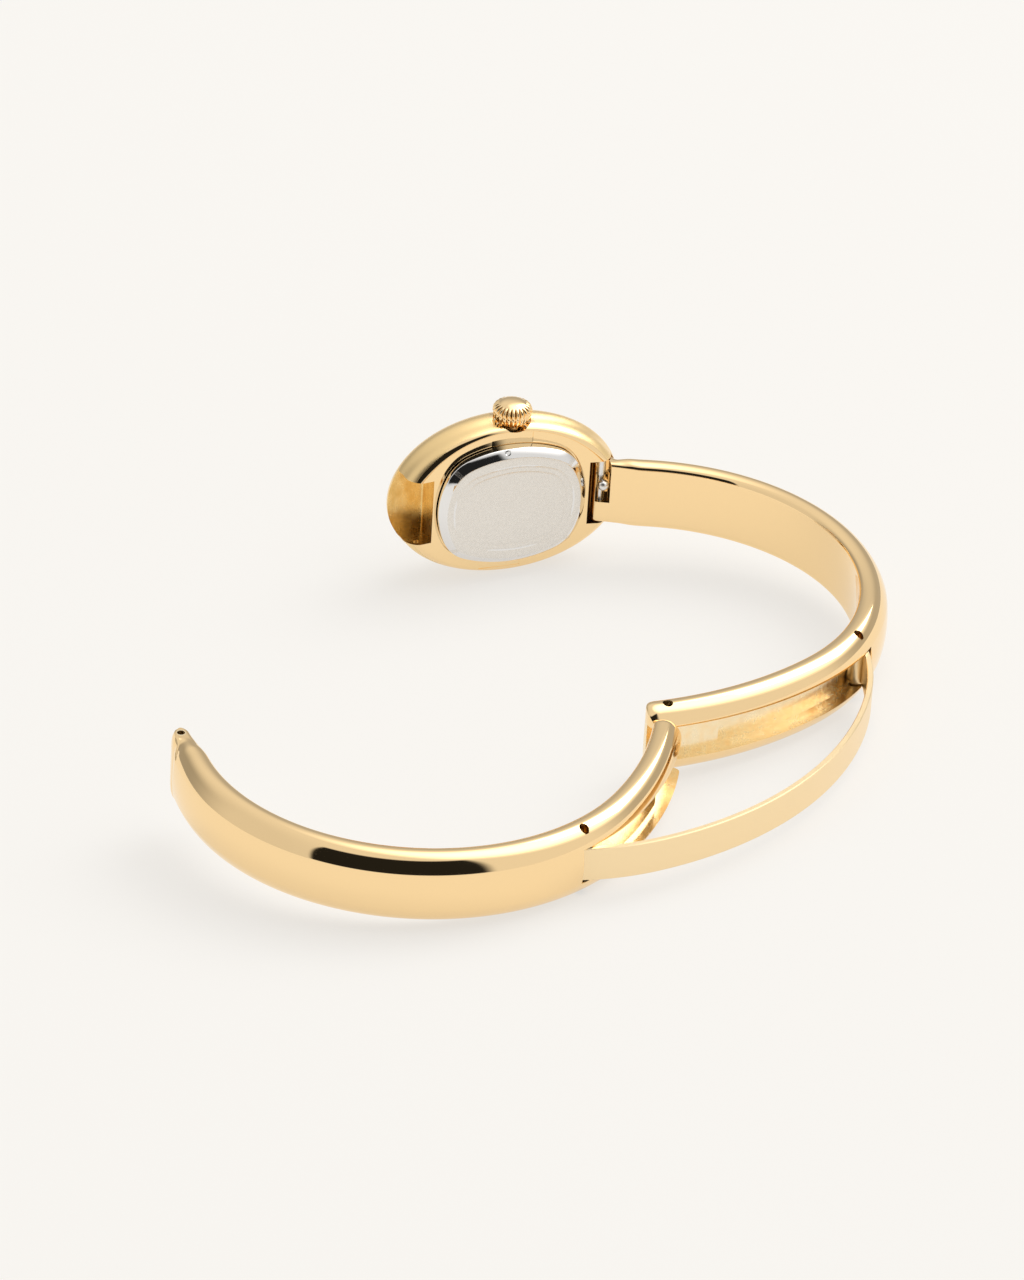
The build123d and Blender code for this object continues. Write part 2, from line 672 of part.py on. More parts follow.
# Lower arm: the same blank mirrored, its tongue bored through, with a bolt pocket at the tip
bolt_angle = clasp_angle(lower_tip_x + bolt_set_back)
bolt_point = polar(clasp_centre, clasp_radius + bolt_depth, bolt_angle)
bolt_ahead = (cos(radians(bolt_angle)), -sin(radians(bolt_angle)), 0)
bolt_inwards = (-sin(radians(bolt_angle)), -cos(radians(bolt_angle)), 0)
bolt_front = Plane(origin=(bolt_point[0], bolt_point[1], 0), z_dir=bolt_ahead).offset(bolt_length / 2)
bolt_stem = Plane(origin=(bolt_point[0], bolt_point[1], 0), x_dir=bolt_ahead, z_dir=bolt_inwards)
with BuildPart() as lower_arm:
    add(arm_blank(lower_tip_x))
    rod(bar_x, bar_y, end_bore_radius, -far_half, far_half, Mode.SUBTRACT)
    with BuildSketch(bolt_front) as bore:
        Circle(bolt_radius + running_gap)
    extrude(amount=-(bolt_length + 2 * bolt_travel), mode=Mode.SUBTRACT)
    with BuildSketch(bolt_stem) as slot:
        with Locations((-bolt_travel / 2, 0)):
            SlotCenterToCenter(bolt_travel, 2 * (bolt_neck_radius + seat_gap))
    extrude(amount=bolt_depth + overrun, mode=Mode.SUBTRACT)
    mirror(about=Plane.YZ, mode=Mode.REPLACE)

with BuildPart() as clasp_bolt:
    with BuildSketch(bolt_front):
        Circle(bolt_radius)
    extrude(amount=-bolt_length)
    with BuildSketch(bolt_stem):
        Circle(bolt_neck_radius)
    extrude(amount=bolt_depth + bolt_ball_radius)
    with Locations(bolt_stem.offset(bolt_depth + bolt_ball_radius)):
        Sphere(bolt_ball_radius)
    mirror(about=Plane.YZ, mode=Mode.REPLACE)


def keep(piece, label, place):
    """Names a finished piece, moves it to its place on the table and writes it."""
    piece.label = label
    piece.move(place)
    export_step(piece, f"parts/{label}.step")


# Places of the bodies in the open watch, before it is laid down
fixed = Location((0, 0, 0))
at_upper = Location((hinge_point[0], hinge_point[1], 0))
at_lower = Location((-hinge_point[0], hinge_point[1], 0))
turn = Location((0, 0, 0), (0, 0, open_angle))
blade_place = at_upper * turn * at_upper.inverse()
lower_place = blade_place * at_lower * turn * at_lower.inverse()
head_pieces = {
    "case_body": case_body, "crystal": crystal, "crystal_gasket": crystal_gasket, "dial": dial,
    "caseback": caseback, "caseback_gasket": caseback_gasket, "movement_holder": movement_holder,
    "movement_plate": movement_plate, "battery": battery, "battery_clip": battery_clip,
    "coil": coil, "circuit_board": circuit_board, "crown_tube": crown_tube,
    "cannon_pinion": cannon_pinion, "minute_wheel": minute_wheel, "hour_wheel": hour_wheel,
    "hour_hand": hour_hand, "minute_hand": minute_hand, "crown": crown,
    "crown_gasket": crown_gasket, "crown_stem": crown_stem, "setting_pinion": setting_pinion,
    "upper_arm": upper_arm, "bar_sleeve": bar_sleeve, "bar_plunger": bar_plunger,
    "bar_spring": bar_spring, "upper_hinge_pin": upper_hinge_pin,
}
blade_pieces = {"clasp_blade": clasp_blade}
lower_pieces = {
    "lower_arm": lower_arm, "lower_hinge_pin": lower_hinge_pin,
    "clasp_bolt": clasp_bolt,
}

# The lean and the shift that put the lowest point on the table and the middle over the origin
lean_axis_length = hypot(lean_axis[0], lean_axis[1])
lean_plane = Plane(origin=(0, 0, 0), x_dir=(-lean_axis[1], lean_axis[0], 0), z_dir=lean_axis)
lean = lean_plane.location * Location((0, 0, 0), (0, 0, lean_angle)) * lean_plane.location.inverse()
stand = lean * Location((head_x, head_y, 0), (0, 0, yaw_angle))
placed = [(fixed, head_pieces), (blade_place, blade_pieces), (lower_place, lower_pieces)]
boxes = [b.part.moved(stand * place).bounding_box() for place, group in placed for b in group.values()]
shift_x = -(min(b.min.X for b in boxes) + max(b.max.X for b in boxes)) / 2
shift_y = -(min(b.min.Y for b in boxes) + max(b.max.Y for b in boxes)) / 2
shift_z = -min(b.min.Z for b in boxes)
table = Location((shift_x, shift_y, shift_z)) * stand

for place, group in placed:
    for label, builder in group.items():
        keep(builder.part, label, table * place)
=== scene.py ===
import bmesh
import bpy
import json
import math
import numpy as np
from mathutils import Matrix, Vector


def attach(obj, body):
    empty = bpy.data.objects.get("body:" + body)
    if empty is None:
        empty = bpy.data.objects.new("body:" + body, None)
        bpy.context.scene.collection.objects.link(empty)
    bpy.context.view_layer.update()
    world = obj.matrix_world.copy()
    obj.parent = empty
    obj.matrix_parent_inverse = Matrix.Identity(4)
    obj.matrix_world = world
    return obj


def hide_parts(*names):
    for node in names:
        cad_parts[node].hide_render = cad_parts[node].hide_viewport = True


# %% [markdown]
# # A gold bangle watch, lying open on its side
# The watch head is a small oval case with its steel back turned to us. One arm of the bangle is
# seated on the head's right end. The other arm is joined to it only by a folding strip, a thin
# curved blade that disappears into channels in both arms when the bangle is closed.
# The CAD frame is loaded first: its nodes say where every piece sits and what it rides on.

# %% Load the frame and keep its bounds
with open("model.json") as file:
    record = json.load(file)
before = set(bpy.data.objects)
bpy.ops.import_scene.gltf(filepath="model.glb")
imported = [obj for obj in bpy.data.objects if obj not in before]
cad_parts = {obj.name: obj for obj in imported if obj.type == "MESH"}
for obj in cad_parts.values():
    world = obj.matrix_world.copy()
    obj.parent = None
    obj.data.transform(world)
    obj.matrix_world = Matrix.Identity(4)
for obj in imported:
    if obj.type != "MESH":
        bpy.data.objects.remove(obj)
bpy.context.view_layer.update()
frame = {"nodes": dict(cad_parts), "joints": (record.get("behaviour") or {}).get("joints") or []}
nodes = frame["nodes"]

# %% [markdown]
# ## The watch's own frame
# Every piece is easiest to describe in the closed watch's own frame, in millimetres: X runs to
# twelve o'clock, Y out through the dial, Z to the crown. The head is turned 20 degrees on the
# table, each clasp hinge is opened 35.6 degrees, and the open watch leans a little on its lower
# edges. Those three motions are multiplied into one matrix for each body.

# %% Sizes that the arms, the strip and the head share
MM = 0.001

# the inner line: a bend round the side of the wrist, then one over the clasp, and its height at the bar
SIDE_RADIUS = 21.7
SIDE_CENTRE_X = 7.15
CLASP_RADIUS = 37.0
INNER_LINE = -1.52

# the lug bar in the mid plane, an arm's thickness, and the crease beside its outer band
BAR = np.array([10.1, 0.5])
ARM_THICKNESS = 3.15
CREASE = 2.95
UPPER_TIP_X = -1.7
LOWER_TIP_X = 3.1

# the clasp hinge: its place on the side bend, and how far it is opened in the photo
HINGE_ANGLE = 134.0
HINGE_DEPTH = 1.3
OPEN_ANGLE = 35.6
PIN_RISE = ARM_THICKNESS - HINGE_DEPTH
PIN_RADIUS = 0.5
KNUCKLE = 1.0
TAIL = 0.9
STRIP_THICKNESS = 0.62
CHANNEL_FLOOR = 1.85
RELIEF_DEPTH = 0.75

# the head's place and turn on the table, and the open watch's lean
HEAD = (-1.055, 27.985)
YAW = 20.26
LEAN = 5.75
LEAN_AXIS = (0.62, 0.78, 0.0)

SIDE_CENTRE = np.array([SIDE_CENTRE_X, INNER_LINE - math.sqrt(SIDE_RADIUS**2 - (BAR[0] - SIDE_CENTRE_X) ** 2)])
centre_gap = math.sqrt((CLASP_RADIUS - SIDE_RADIUS) ** 2 - SIDE_CENTRE[0] ** 2)
CLASP_CENTRE = np.array([0.0, SIDE_CENTRE[1] + centre_gap])
TAIL_ANGLE = HINGE_ANGLE - math.degrees(math.atan2(TAIL, SIDE_RADIUS + CREASE))
print("centres of the two bends, mm:", SIDE_CENTRE.round(3), CLASP_CENTRE.round(3))

# %% Places of the three main bodies


def rotation(degrees, axis=(0, 0, 1)):
    """4x4 turn about an axis through the origin."""
    return Matrix.Rotation(math.radians(degrees), 4, Vector(axis))


def polar(centre, radius, degrees):
    """Point at a radius from a centre, the angle measured from +Y towards +X."""
    a = math.radians(degrees)
    return np.array([centre[0] + radius * math.sin(a), centre[1] + radius * math.cos(a)])


hinge_point = polar(SIDE_CENTRE, SIDE_RADIUS + ARM_THICKNESS - HINGE_DEPTH, HINGE_ANGLE)
stand = Matrix.Translation((HEAD[0], HEAD[1], 0)) @ rotation(YAW)
lean = rotation(LEAN, LEAN_AXIS)
blade_joint = [j for j in frame["joints"] if j["name"] == "blade_hinge"][0]
pin_on_table = Vector(blade_joint["pos_m"]) / MM
shift = pin_on_table - lean @ stand @ Vector((*hinge_point, 0))
table = Matrix.Translation(shift) @ lean @ stand


def about(point, matrix):
    """The same turn, made about a point of the mid plane."""
    move = Matrix.Translation((point[0], point[1], 0))
    return move @ matrix @ move.inverted()


blade_place = about(hinge_point, rotation(OPEN_ANGLE))
lower_place = blade_place @ about(np.array([-hinge_point[0], hinge_point[1]]), rotation(OPEN_ANGLE))
PLACE = {"head": table, "blade": table @ blade_place, "lower": table @ lower_place}
print("shift to the table, mm:", [round(c, 4) for c in shift])

# %% [markdown]
# ## Finishes
# Polished gold plate is a mirror with a warm tint, so nearly all that shows on it is the room.
# It gets a very low roughness, with the faintest ripple from the polishing wheel. Satin and
# brushed gold are the same plate under fine lines, a little paler. Inside the channels and recesses
# the casting was never polished: it is pitted, and its pits are darker. The empty recess is also
# painted a darker brown gold as painted shade, and the seated recess and the hinge pin holes are
# painted dark brown as painted shade. All patterns read Object coordinates, so they stay put on
# every piece.

# %% A finish and its height pattern
def finish(name, colour, metallic, roughness, spread=0.01, grain=(60, 60, 60), bump=0.0, detail=2.0):
    """Principled finish: noise, stretched by the grain, moves the roughness and raises the surface."""
    mat = bpy.data.materials.new(name)
    mat.use_nodes = True
    tree = mat.node_tree
    shader = tree.nodes["Principled BSDF"]
    shader.inputs["Base Color"].default_value = (*colour, 1)
    shader.inputs["Metallic"].default_value = metallic
    coords = tree.nodes.new("ShaderNodeTexCoord")
    mapping = tree.nodes.new("ShaderNodeMapping")
    mapping.inputs["Rotation"].default_value = (0, math.radians(LEAN), math.radians(YAW))
    mapping.inputs["Scale"].default_value = grain
    noise = tree.nodes.new("ShaderNodeTexNoise")
    noise.inputs["Scale"].default_value = 10.0
    noise.inputs["Detail"].default_value = detail
    spreader = tree.nodes.new("ShaderNodeMapRange")
    for socket, value in (("From Min", 0.3), ("From Max", 0.7),
                          ("To Min", max(roughness - spread, 0.0)), ("To Max", roughness + spread)):
        spreader.inputs[socket].default_value = value
    tree.links.new(coords.outputs["Object"], mapping.inputs["Vector"])
    tree.links.new(mapping.outputs["Vector"], noise.inputs["Vector"])
    tree.links.new(noise.outputs["Fac"], spreader.inputs["Value"])
    tree.links.new(spreader.outputs["Result"], shader.inputs["Roughness"])
    if bump:
        height = tree.nodes.new("ShaderNodeBump")
        height.inputs["Strength"].default_value = 1.0
        height.inputs["Distance"].default_value = bump * MM
        tree.links.new(noise.outputs["Fac"], height.inputs["Height"])
        tree.links.new(height.outputs["Normal"], shader.inputs["Normal"])
    return mat


def two_tone(mat, first, second, low=0.35, high=0.65):
    """Lets the same noise mix two colours, so that pits are darker than the skin between them."""
    tree = mat.node_tree
    noise = next(n for n in tree.nodes if n.type == "TEX_NOISE")
    ramp = tree.nodes.new("ShaderNodeValToRGB")
    for element, position, colour in zip(ramp.color_ramp.elements, (low, high), (first, second)):
        element.position = position
        element.color = (*colour, 1)
    tree.links.new(noise.outputs["Fac"], ramp.inputs["Fac"])
    tree.links.new(ramp.outputs["Color"], tree.nodes["Principled BSDF"].inputs["Base Color"])
    return mat


# %% Metals
GOLD = (1.0, 0.735, 0.4)
METAL, OTHER = 1.0, 0.0
SAND, DUST = (200, 200, 200), (300, 300, 300)
gold = finish("polished_gold", GOLD, METAL, 0.045, spread=0.015, grain=(6, 6, 6), bump=0.004)
satin = finish("satin_gold", (1.0, 0.74, 0.37), METAL, 0.34, spread=0.02, grain=(30, 30, 900), bump=0.0012,
               detail=3.0)
brushed = finish("brushed_gold", (1.0, 0.785, 0.475), METAL, 0.34, spread=0.02, grain=(90, 90, 900), bump=0.0006,
                 detail=3.0)
# darker pits at random, and its dark brown tone is also painted shade in the empty recess
pits_and_painted_shade = two_tone(finish("pitted_gold", GOLD, METAL, 0.26, spread=0.05, grain=(90, 90, 60), bump=0.012, detail=4.0),
                  (0.72, 0.43, 0.12), (0.98, 0.7, 0.3), low=0.25, high=0.6)
raw = two_tone(finish("raw_gold", GOLD, METAL, 0.24, spread=0.06, grain=(110, 110, 70), bump=0.012, detail=4.0),
               (1.0, 0.78, 0.47), (1.0, 0.85, 0.58), low=0.3, high=0.6)
pin_gold = finish("pin_gold", (0.8, 0.55, 0.25), METAL, 0.25, spread=0.05, grain=SAND)
# dark brown painted shade, for the hinge pin holes' walls and the seated recess
bore_gold = finish("bore_gold", (0.42, 0.25, 0.08), METAL, 0.3, spread=0.05, grain=SAND)
steel = finish("polished_steel", (0.83, 0.82, 0.81), METAL, 0.06, spread=0.02)
matte_back = two_tone(finish("matte_steel", (0.8, 0.77, 0.72), METAL, 0.27, spread=0.03, grain=(500, 500, 500),
                             bump=0.0015, detail=4.0), (0.77, 0.735, 0.685), (0.85, 0.815, 0.765))
spring_steel = finish("spring_steel", (0.84, 0.83, 0.81), METAL, 0.3, spread=0.05, grain=SAND)
print("metals", len(bpy.data.materials))

# %% Glass, paint, rubber and the movement's finishes
rubber = finish("black_rubber", (0.02, 0.02, 0.02), OTHER, 0.5, spread=0.05, grain=DUST, bump=0.01)
glass = finish("crystal_glass", (1.0, 1.0, 1.0), OTHER, 0.01, spread=0.004)
glass.node_tree.nodes["Principled BSDF"].inputs["Transmission Weight"].default_value = 1.0
paint = finish("dial_lacquer", (0.85, 0.83, 0.78), OTHER, 0.3, spread=0.04, grain=DUST, bump=0.003)
plastic = finish("white_plastic", (0.7, 0.69, 0.66), OTHER, 0.45, spread=0.05, grain=SAND)
plate = finish("nickel_plate", (0.7, 0.69, 0.67), METAL, 0.3, spread=0.05, grain=(500, 20, 500), bump=0.003)
cell_can = finish("cell_can", (0.78, 0.77, 0.75), METAL, 0.2, spread=0.03)
board = finish("green_board", (0.02, 0.2, 0.08), OTHER, 0.35, spread=0.05)
winding = finish("copper_winding", (0.75, 0.32, 0.13), METAL, 0.3, spread=0.05, grain=(60, 60, 4000), bump=0.02)
SLOT_FINISH = {
    "case_gold": gold, "arm_gold": gold, "blade_gold": brushed, "crown_gold": gold, "hand_gold": gold,
    "back_steel": matte_back, "pin_steel": spring_steel, "cell": cell_can, "movement_metal": plate,
    "glass": glass, "gasket": rubber, "dial_paint": paint, "movement_plastic": plastic,
    "board": board, "winding": winding,
}
for name, node in nodes.items():
    for slot in node.material_slots:
        key = slot.material.name.split(".")[0] if slot.material else ""
        if key in SLOT_FINISH:
            slot.material = SLOT_FINISH[key]
        else:
            print("no finish for", name, key)
print("finishes", len(bpy.data.materials))

# %% [markdown]
# ## Surfaces as grids
# Every visible piece is a grid of two parameters: one runs along the piece, the other round its
# section. Where a section shrinks to a line or a point the grid's rows meet there and are welded,
# so that each piece is a closed solid. Holes and pockets are then cut out as real openings.

# %% Grids
def grid_faces(rows, columns, closed=False):
    """Quads of a grid whose columns close into a loop: corner (i, j) joins (i, j+1) and (i+1, j)."""
    i = np.arange(rows if closed else rows - 1)[:, None]
    j = np.arange(columns)[None, :]
    k, below = (j + 1) % columns, (i + 1) % rows
    quads = np.stack([i * columns + j, i * columns + k, below * columns + k, below * columns + j], -1)
    return quads.reshape(-1, 4).tolist()


def capped_faces(rows, columns):
    """The quads of a grid and one face over each of its two ends."""
    ends = [list(range(columns)), list(range((rows - 1) * columns, rows * columns))]
    return grid_faces(rows, columns) + ends


# %% Solids
WELD, CUT_WELD, SLIVER = 3e-7, 4e-7, 2e-7


def weld(work, distance):
    """Merges points nearer than a distance in metres, then drops the slivers that this leaves."""
    bmesh.ops.remove_doubles(work, verts=work.verts, dist=distance)
    bmesh.ops.dissolve_degenerate(work, dist=SLIVER, edges=work.edges)


def solid(name, points, faces, place="head"):
    """Mesh object from points in the closed watch's frame, in millimetres: p' = M p, then welded."""
    matrix = np.array(PLACE[place])
    world = (points.reshape(-1, 3) @ matrix[:3, :3].T + matrix[:3, 3]) * MM
    mesh = bpy.data.meshes.new(name)
    mesh.from_pydata(world.tolist(), [], faces)
    work = bmesh.new()
    work.from_mesh(mesh)
    weld(work, WELD)
    bmesh.ops.recalc_face_normals(work, faces=work.faces)
    work.to_mesh(mesh)
    work.free()
    thing = bpy.data.objects.new(name, mesh)
    bpy.context.scene.collection.objects.link(thing)
    return thing


# %% Lathes, round bars and prisms
def lathe(name, profile, origin, axis=(0, 0, 1), place="head", sides=72):
    """Turned solid: each (radius, height) of the profile is swept round an axis through the origin."""
    along = Vector(axis).normalized()
    first = along.orthogonal().normalized()
    second = along.cross(first)
    profile = np.array(profile, dtype=float)
    turn = np.linspace(0, 2 * np.pi, sides, endpoint=False)
    ring = np.cos(turn)[:, None] * np.array(first) + np.sin(turn)[:, None] * np.array(second)
    points = np.array(origin) + profile[:, 1, None, None] * np.array(along) + profile[:, 0, None, None] * ring
    return solid(name, points, grid_faces(len(profile), sides), place)


def bar(name, radius, low, high, origin, **more):
    """Round bar between two heights along its axis."""
    return lathe(name, [(0, low), (radius, low), (radius, high), (0, high)], origin, **more)


def prism(name, outline, low, high, place="head"):
    """Upright prism: a closed outline of the mid plane carried from one height along Z to another."""
    count = len(outline)
    points = np.array([(x, y, z) for z in (low, high) for x, y in outline])
    sides = [[i, (i + 1) % count, count + (i + 1) % count, count + i] for i in range(count)]
    return solid(name, points, [list(range(count)), list(range(count, 2 * count))] + sides, place)


# %% Cutting a piece
def cut(piece, *cutters, operation="DIFFERENCE"):
    """Takes each cutter's solid out of a piece (or joins it), welds the result and removes the cutters."""
    for cutter in cutters:
        modifier = piece.modifiers.new("cut", "BOOLEAN")
        modifier.operation = operation
        modifier.solver = "EXACT"
        modifier.object = cutter
    bpy.context.view_layer.update()
    mesh = bpy.data.meshes.new_from_object(piece.evaluated_get(bpy.context.evaluated_depsgraph_get()))
    piece.modifiers.clear()
    work = bmesh.new()
    work.from_mesh(mesh)
    weld(work, CUT_WELD)
    work.to_mesh(mesh)
    work.free()
    old, piece.data = piece.data, mesh
    bpy.data.meshes.remove(old)
    for cutter in cutters:
        bpy.data.objects.remove(cutter)


# %% Dressing a piece
def dress(piece, material, slot, body, *replaced, angle=32):
    """Gives a piece its finish, smooth faces with sharp edges, its body and the nodes it stands for."""
    mesh = piece.data
    mesh.materials.clear()
    mesh.materials.append(material)
    mesh.shade_smooth()
    mesh.set_sharp_from_angle(angle=math.radians(angle))
    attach(piece, body)
    if replaced:
        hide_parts(*replaced)
    work = bmesh.new()
    work.from_mesh(mesh)
    open_edges = sum(1 for e in work.edges if not e.is_manifold)
    work.free()
    print(piece.name, "faces", len(mesh.polygons), "open edges", open_edges)


# %% Finishes face by face
def face_middles(piece, place):
    """Middles of a piece's faces in the closed watch's frame, in millimetres: the inverse of p' = M p."""
    middles = np.empty(len(piece.data.polygons) * 3)
    piece.data.polygons.foreach_get("center", middles)
    back = np.linalg.inv(np.array(PLACE[place]))
    return middles.reshape(-1, 3) / MM @ back[:3, :3].T + back[:3, 3]


def paint_faces(piece, index, *materials):
    """Adds further finishes to a dressed piece and gives each face the number of its own."""
    for material in materials:
        piece.data.materials.append(material)
    piece.data.polygons.foreach_set("material_index", index.astype(np.int32))


def smoothstep(x):
    """0 below 0, 1 above 1, and 3x^2 - 2x^3 between."""
    x = np.clip(x, 0, 1)
    return x * x * (3 - 2 * x)


# %% [markdown]
# ## The arms' inner line
# Both arms follow the same two bends: a tight one round the side of the wrist and a flat one at the
# clasp. The free end is a barrel round the lug bar. From the barrel the inside runs down a straight
# heel to the arm's flat inner face, and the outside dips at a neck. At the clasp the arm ends in a
# rounded nose. All of this only raises or lowers the arm's two sides as one walks along it.

# %% Path of an arm
# the barrel's radius, and the distance at which the heel meets the inner face
BARREL = 0.93
HEEL = 3.97
bar_rise = math.hypot(BAR[0] - SIDE_CENTRE[0], BAR[1] - SIDE_CENTRE[1]) - SIDE_RADIUS
bar_angle = math.degrees(math.atan2(BAR[0] - SIDE_CENTRE[0], BAR[1] - SIDE_CENTRE[1]))
bend_change = 180 - math.degrees(math.asin(SIDE_CENTRE[0] / (CLASP_RADIUS - SIDE_RADIUS)))
side_length = math.radians(bend_change - bar_angle) * (SIDE_RADIUS + bar_rise)
print("side bend runs", round(side_length, 2), "mm from the lug bar")


def clasp_distance(x):
    """Distance along an arm, from its lug bar, of the inner line's point at X on the clasp bend."""
    angle = 180 - math.degrees(math.asin(x / CLASP_RADIUS))
    return side_length + math.radians(angle - bend_change) * (CLASP_RADIUS + bar_rise)


def side_distance(angle):
    """Distance along an arm, from its lug bar, of an angle on the side bend."""
    return math.radians(angle - bar_angle) * (SIDE_RADIUS + bar_rise)


def along_arm(distance, height, z):
    """Point at a distance from the lug bar, a height over the inner line and a Z: c + (R + h)(sin a, cos a)."""
    distance, height, z = np.broadcast_arrays(distance, height, z)
    on_side = distance < side_length
    angle = np.where(on_side, math.radians(bar_angle) + distance / (SIDE_RADIUS + bar_rise),
                     math.radians(bend_change) + (distance - side_length) / (CLASP_RADIUS + bar_rise))
    centre_x = np.where(on_side, SIDE_CENTRE[0], CLASP_CENTRE[0])
    centre_y = np.where(on_side, SIDE_CENTRE[1], CLASP_CENTRE[1])
    radius = np.where(on_side, SIDE_RADIUS, CLASP_RADIUS) + height
    return np.stack([centre_x + radius * np.sin(angle), centre_y + radius * np.cos(angle), z], -1)


# %% Heights of an arm's two sides
# half the height that is left at the barrel's and the nose's last rows
EDGE = 0.012
HEEL_SOFTNESS = 0.15
HEEL_FADE_FROM, HEEL_FADE_RUN = 5, 3
NECK_DEPTH, NECK_AT, NECK_SPREAD = 0.14, 1.45, 0.5
THICKEN_FROM, THICKEN_RUN = 1.4, 1.6
BAND_TOP = ARM_THICKNESS - 0.006


def nose_share(distance, tip, nose):
    """How far into the nose a distance is: 0 up to its start, 1 at the arm's tip."""
    return np.clip((nose - (tip - distance)) / nose, 0, 1)


def arm_sides(distance, tip, nose, power):
    """Heights of the inner and outer side: barrel circle, tangent heel, neck, then the rounded nose."""
    circle = np.sqrt(np.clip(BARREL**2 - distance**2, EDGE**2, None))
    lean_in = math.atan2(bar_rise, -HEEL) + math.asin(BARREL / math.hypot(HEEL, bar_rise))
    touch = HEEL + math.sqrt(HEEL**2 + bar_rise**2 - BARREL**2) * math.cos(lean_in)
    line = math.tan(lean_in) * (distance - HEEL)
    fade = 1 - smoothstep((distance - HEEL_FADE_FROM) / HEEL_FADE_RUN)
    heel = 0.5 * (line + np.sqrt(line**2 + HEEL_SOFTNESS**2)) * fade
    inner = np.where(distance < touch, bar_rise - circle, heel)
    neck = NECK_DEPTH * np.exp(-((distance - NECK_AT) / NECK_SPREAD) ** 2)
    thicken = smoothstep((distance - THICKEN_FROM) / THICKEN_RUN)
    top = bar_rise + BARREL - neck + (BAND_TOP - bar_rise - BARREL) * thicken
    outer = np.where(distance < 0, bar_rise + circle, top)
    inset = (ARM_THICKNESS / 2 - EDGE) * (1 - (1 - nose_share(distance, tip, nose) ** power) ** (1 / power))
    return inner + inset, outer - inset


# %% [markdown]
# ## The arms' section
# Cut across, an arm has a flat inner face, a rounded flank that is the widest part, a soft crease,
# and a gently crowned outer band. The strip's channel is sunk into the band, with a deeper relief
# along its middle. Towards the lug bar the section turns into a rounded block, and the crease climbs
# to its corner: that is the S-shaped step seen at the free end.

# %% The arm's half section: heights against Z
# half widths of band, face, channel and relief, and the rounding of the face's edge
BAND_HALF = 2.05
FACE_HALF = 3.5
CHANNEL_HALF = 1.93
RELIEF_HALF = 1.4
ROUND = 0.34
BAND_EDGE = 1.97


def bezier(a, b, c, count):
    """Quadratic curve (1-t)^2 a + 2t(1-t) b + t^2 c."""
    t = np.linspace(0, 1, count)[:, None]
    return (1 - t) ** 2 * np.array(a) + 2 * t * (1 - t) * np.array(b) + t**2 * np.array(c)


def band_height(z):
    """Height of the crowned band: full thickness less the crown's sag, which grows with z squared."""
    return ARM_THICKNESS - (ARM_THICKNESS - CREASE) * (z / BAND_HALF) ** 2


flank_t = np.linspace(0, 1, 34)[:, None]
low_edge, low_pull = np.array([0.0, FACE_HALF]), np.array([1.32, 4.2])
top_pull, top_edge = np.array([2.33, 3.74]), np.array([CREASE, BAND_HALF])
flank = ((1 - flank_t) ** 3 * low_edge + 3 * flank_t * (1 - flank_t) ** 2 * low_pull
         + 3 * flank_t**2 * (1 - flank_t) * top_pull + flank_t**3 * top_edge)[1:-1]
flank = flank[(flank[:, 0] > ROUND) & (flank[:, 0] < CREASE - 0.05)]
face_edge = bezier((0, FACE_HALF - ROUND), (0.03, FACE_HALF - 0.02), flank[0], 7)
crease = bezier(flank[-1], (CREASE, BAND_HALF), (band_height(BAND_EDGE), BAND_EDGE), 5)
# the band's points crowd where the channel and its relief have their walls
band_z = np.array([1.95, 1.93, 1.925, 1.92, 1.7, 1.41, 1.4, 1.395, 1.2, 0.9, 0.6, 0.3, 0.0])
band = np.stack([band_height(band_z), band_z], -1)
face = np.stack([np.zeros(8), np.linspace(0, FACE_HALF - ROUND, 8)], -1)
arm_half = np.concatenate([face[:-1], face_edge[:-1], flank[:-1], crease, band])
arm_half[:, 0] /= ARM_THICKNESS
# the flank's half width at a height, for the noses
flank_h, flank_z = np.append(flank[:, 0], CREASE), np.append(flank[:, 1], BAND_HALF)
flank_h, flank_z = np.insert(flank_h, 0, 0.0), np.insert(flank_z, 0, FACE_HALF)
print("arm half section points", len(arm_half))

# %% The block's half section, point for point the arm's partner
BLOCK_FACE, BLOCK_HALF = 3.1, 3.6
BLOCK_LOW, BLOCK_HIGH = 0.24, 0.74
block_side = np.linspace(BLOCK_LOW, BLOCK_HIGH, len(flank))
block_half = np.concatenate([
    np.stack([np.zeros(7), np.linspace(0, BLOCK_FACE, 8)[:-1]], -1),
    bezier((0, BLOCK_FACE), (0, BLOCK_HALF), (BLOCK_LOW, BLOCK_HALF), 7)[:-1],
    np.stack([block_side, np.full(len(flank), BLOCK_HALF)], -1)[:-1],
    bezier((BLOCK_HIGH, BLOCK_HALF), (1, BLOCK_HALF), (1, 2.1), 5),
    np.stack([np.ones(len(band_z)), band_z * BAND_HALF / band_z[0]], -1),
])
print("block half section points", len(block_half))

# %% Sweeping an arm
CHANNEL_FROM = side_distance(TAIL_ANGLE) - 0.05
RELIEF_FROM = side_distance(HINGE_ANGLE)
RELIEF_BACK = 7.5
HAIR = 0.01
BLOCK_UNTIL, BLOCK_FADE = 0.9, 2.4
BESIDE_BAND = 1.96
NOSE_DRAW, NOSE_RUN = 0.5, 1.5


def whole(half):
    """Closes a half section by its mirror image in the mid plane."""
    return np.concatenate([half, half[-2:0:-1] * [1, -1]])


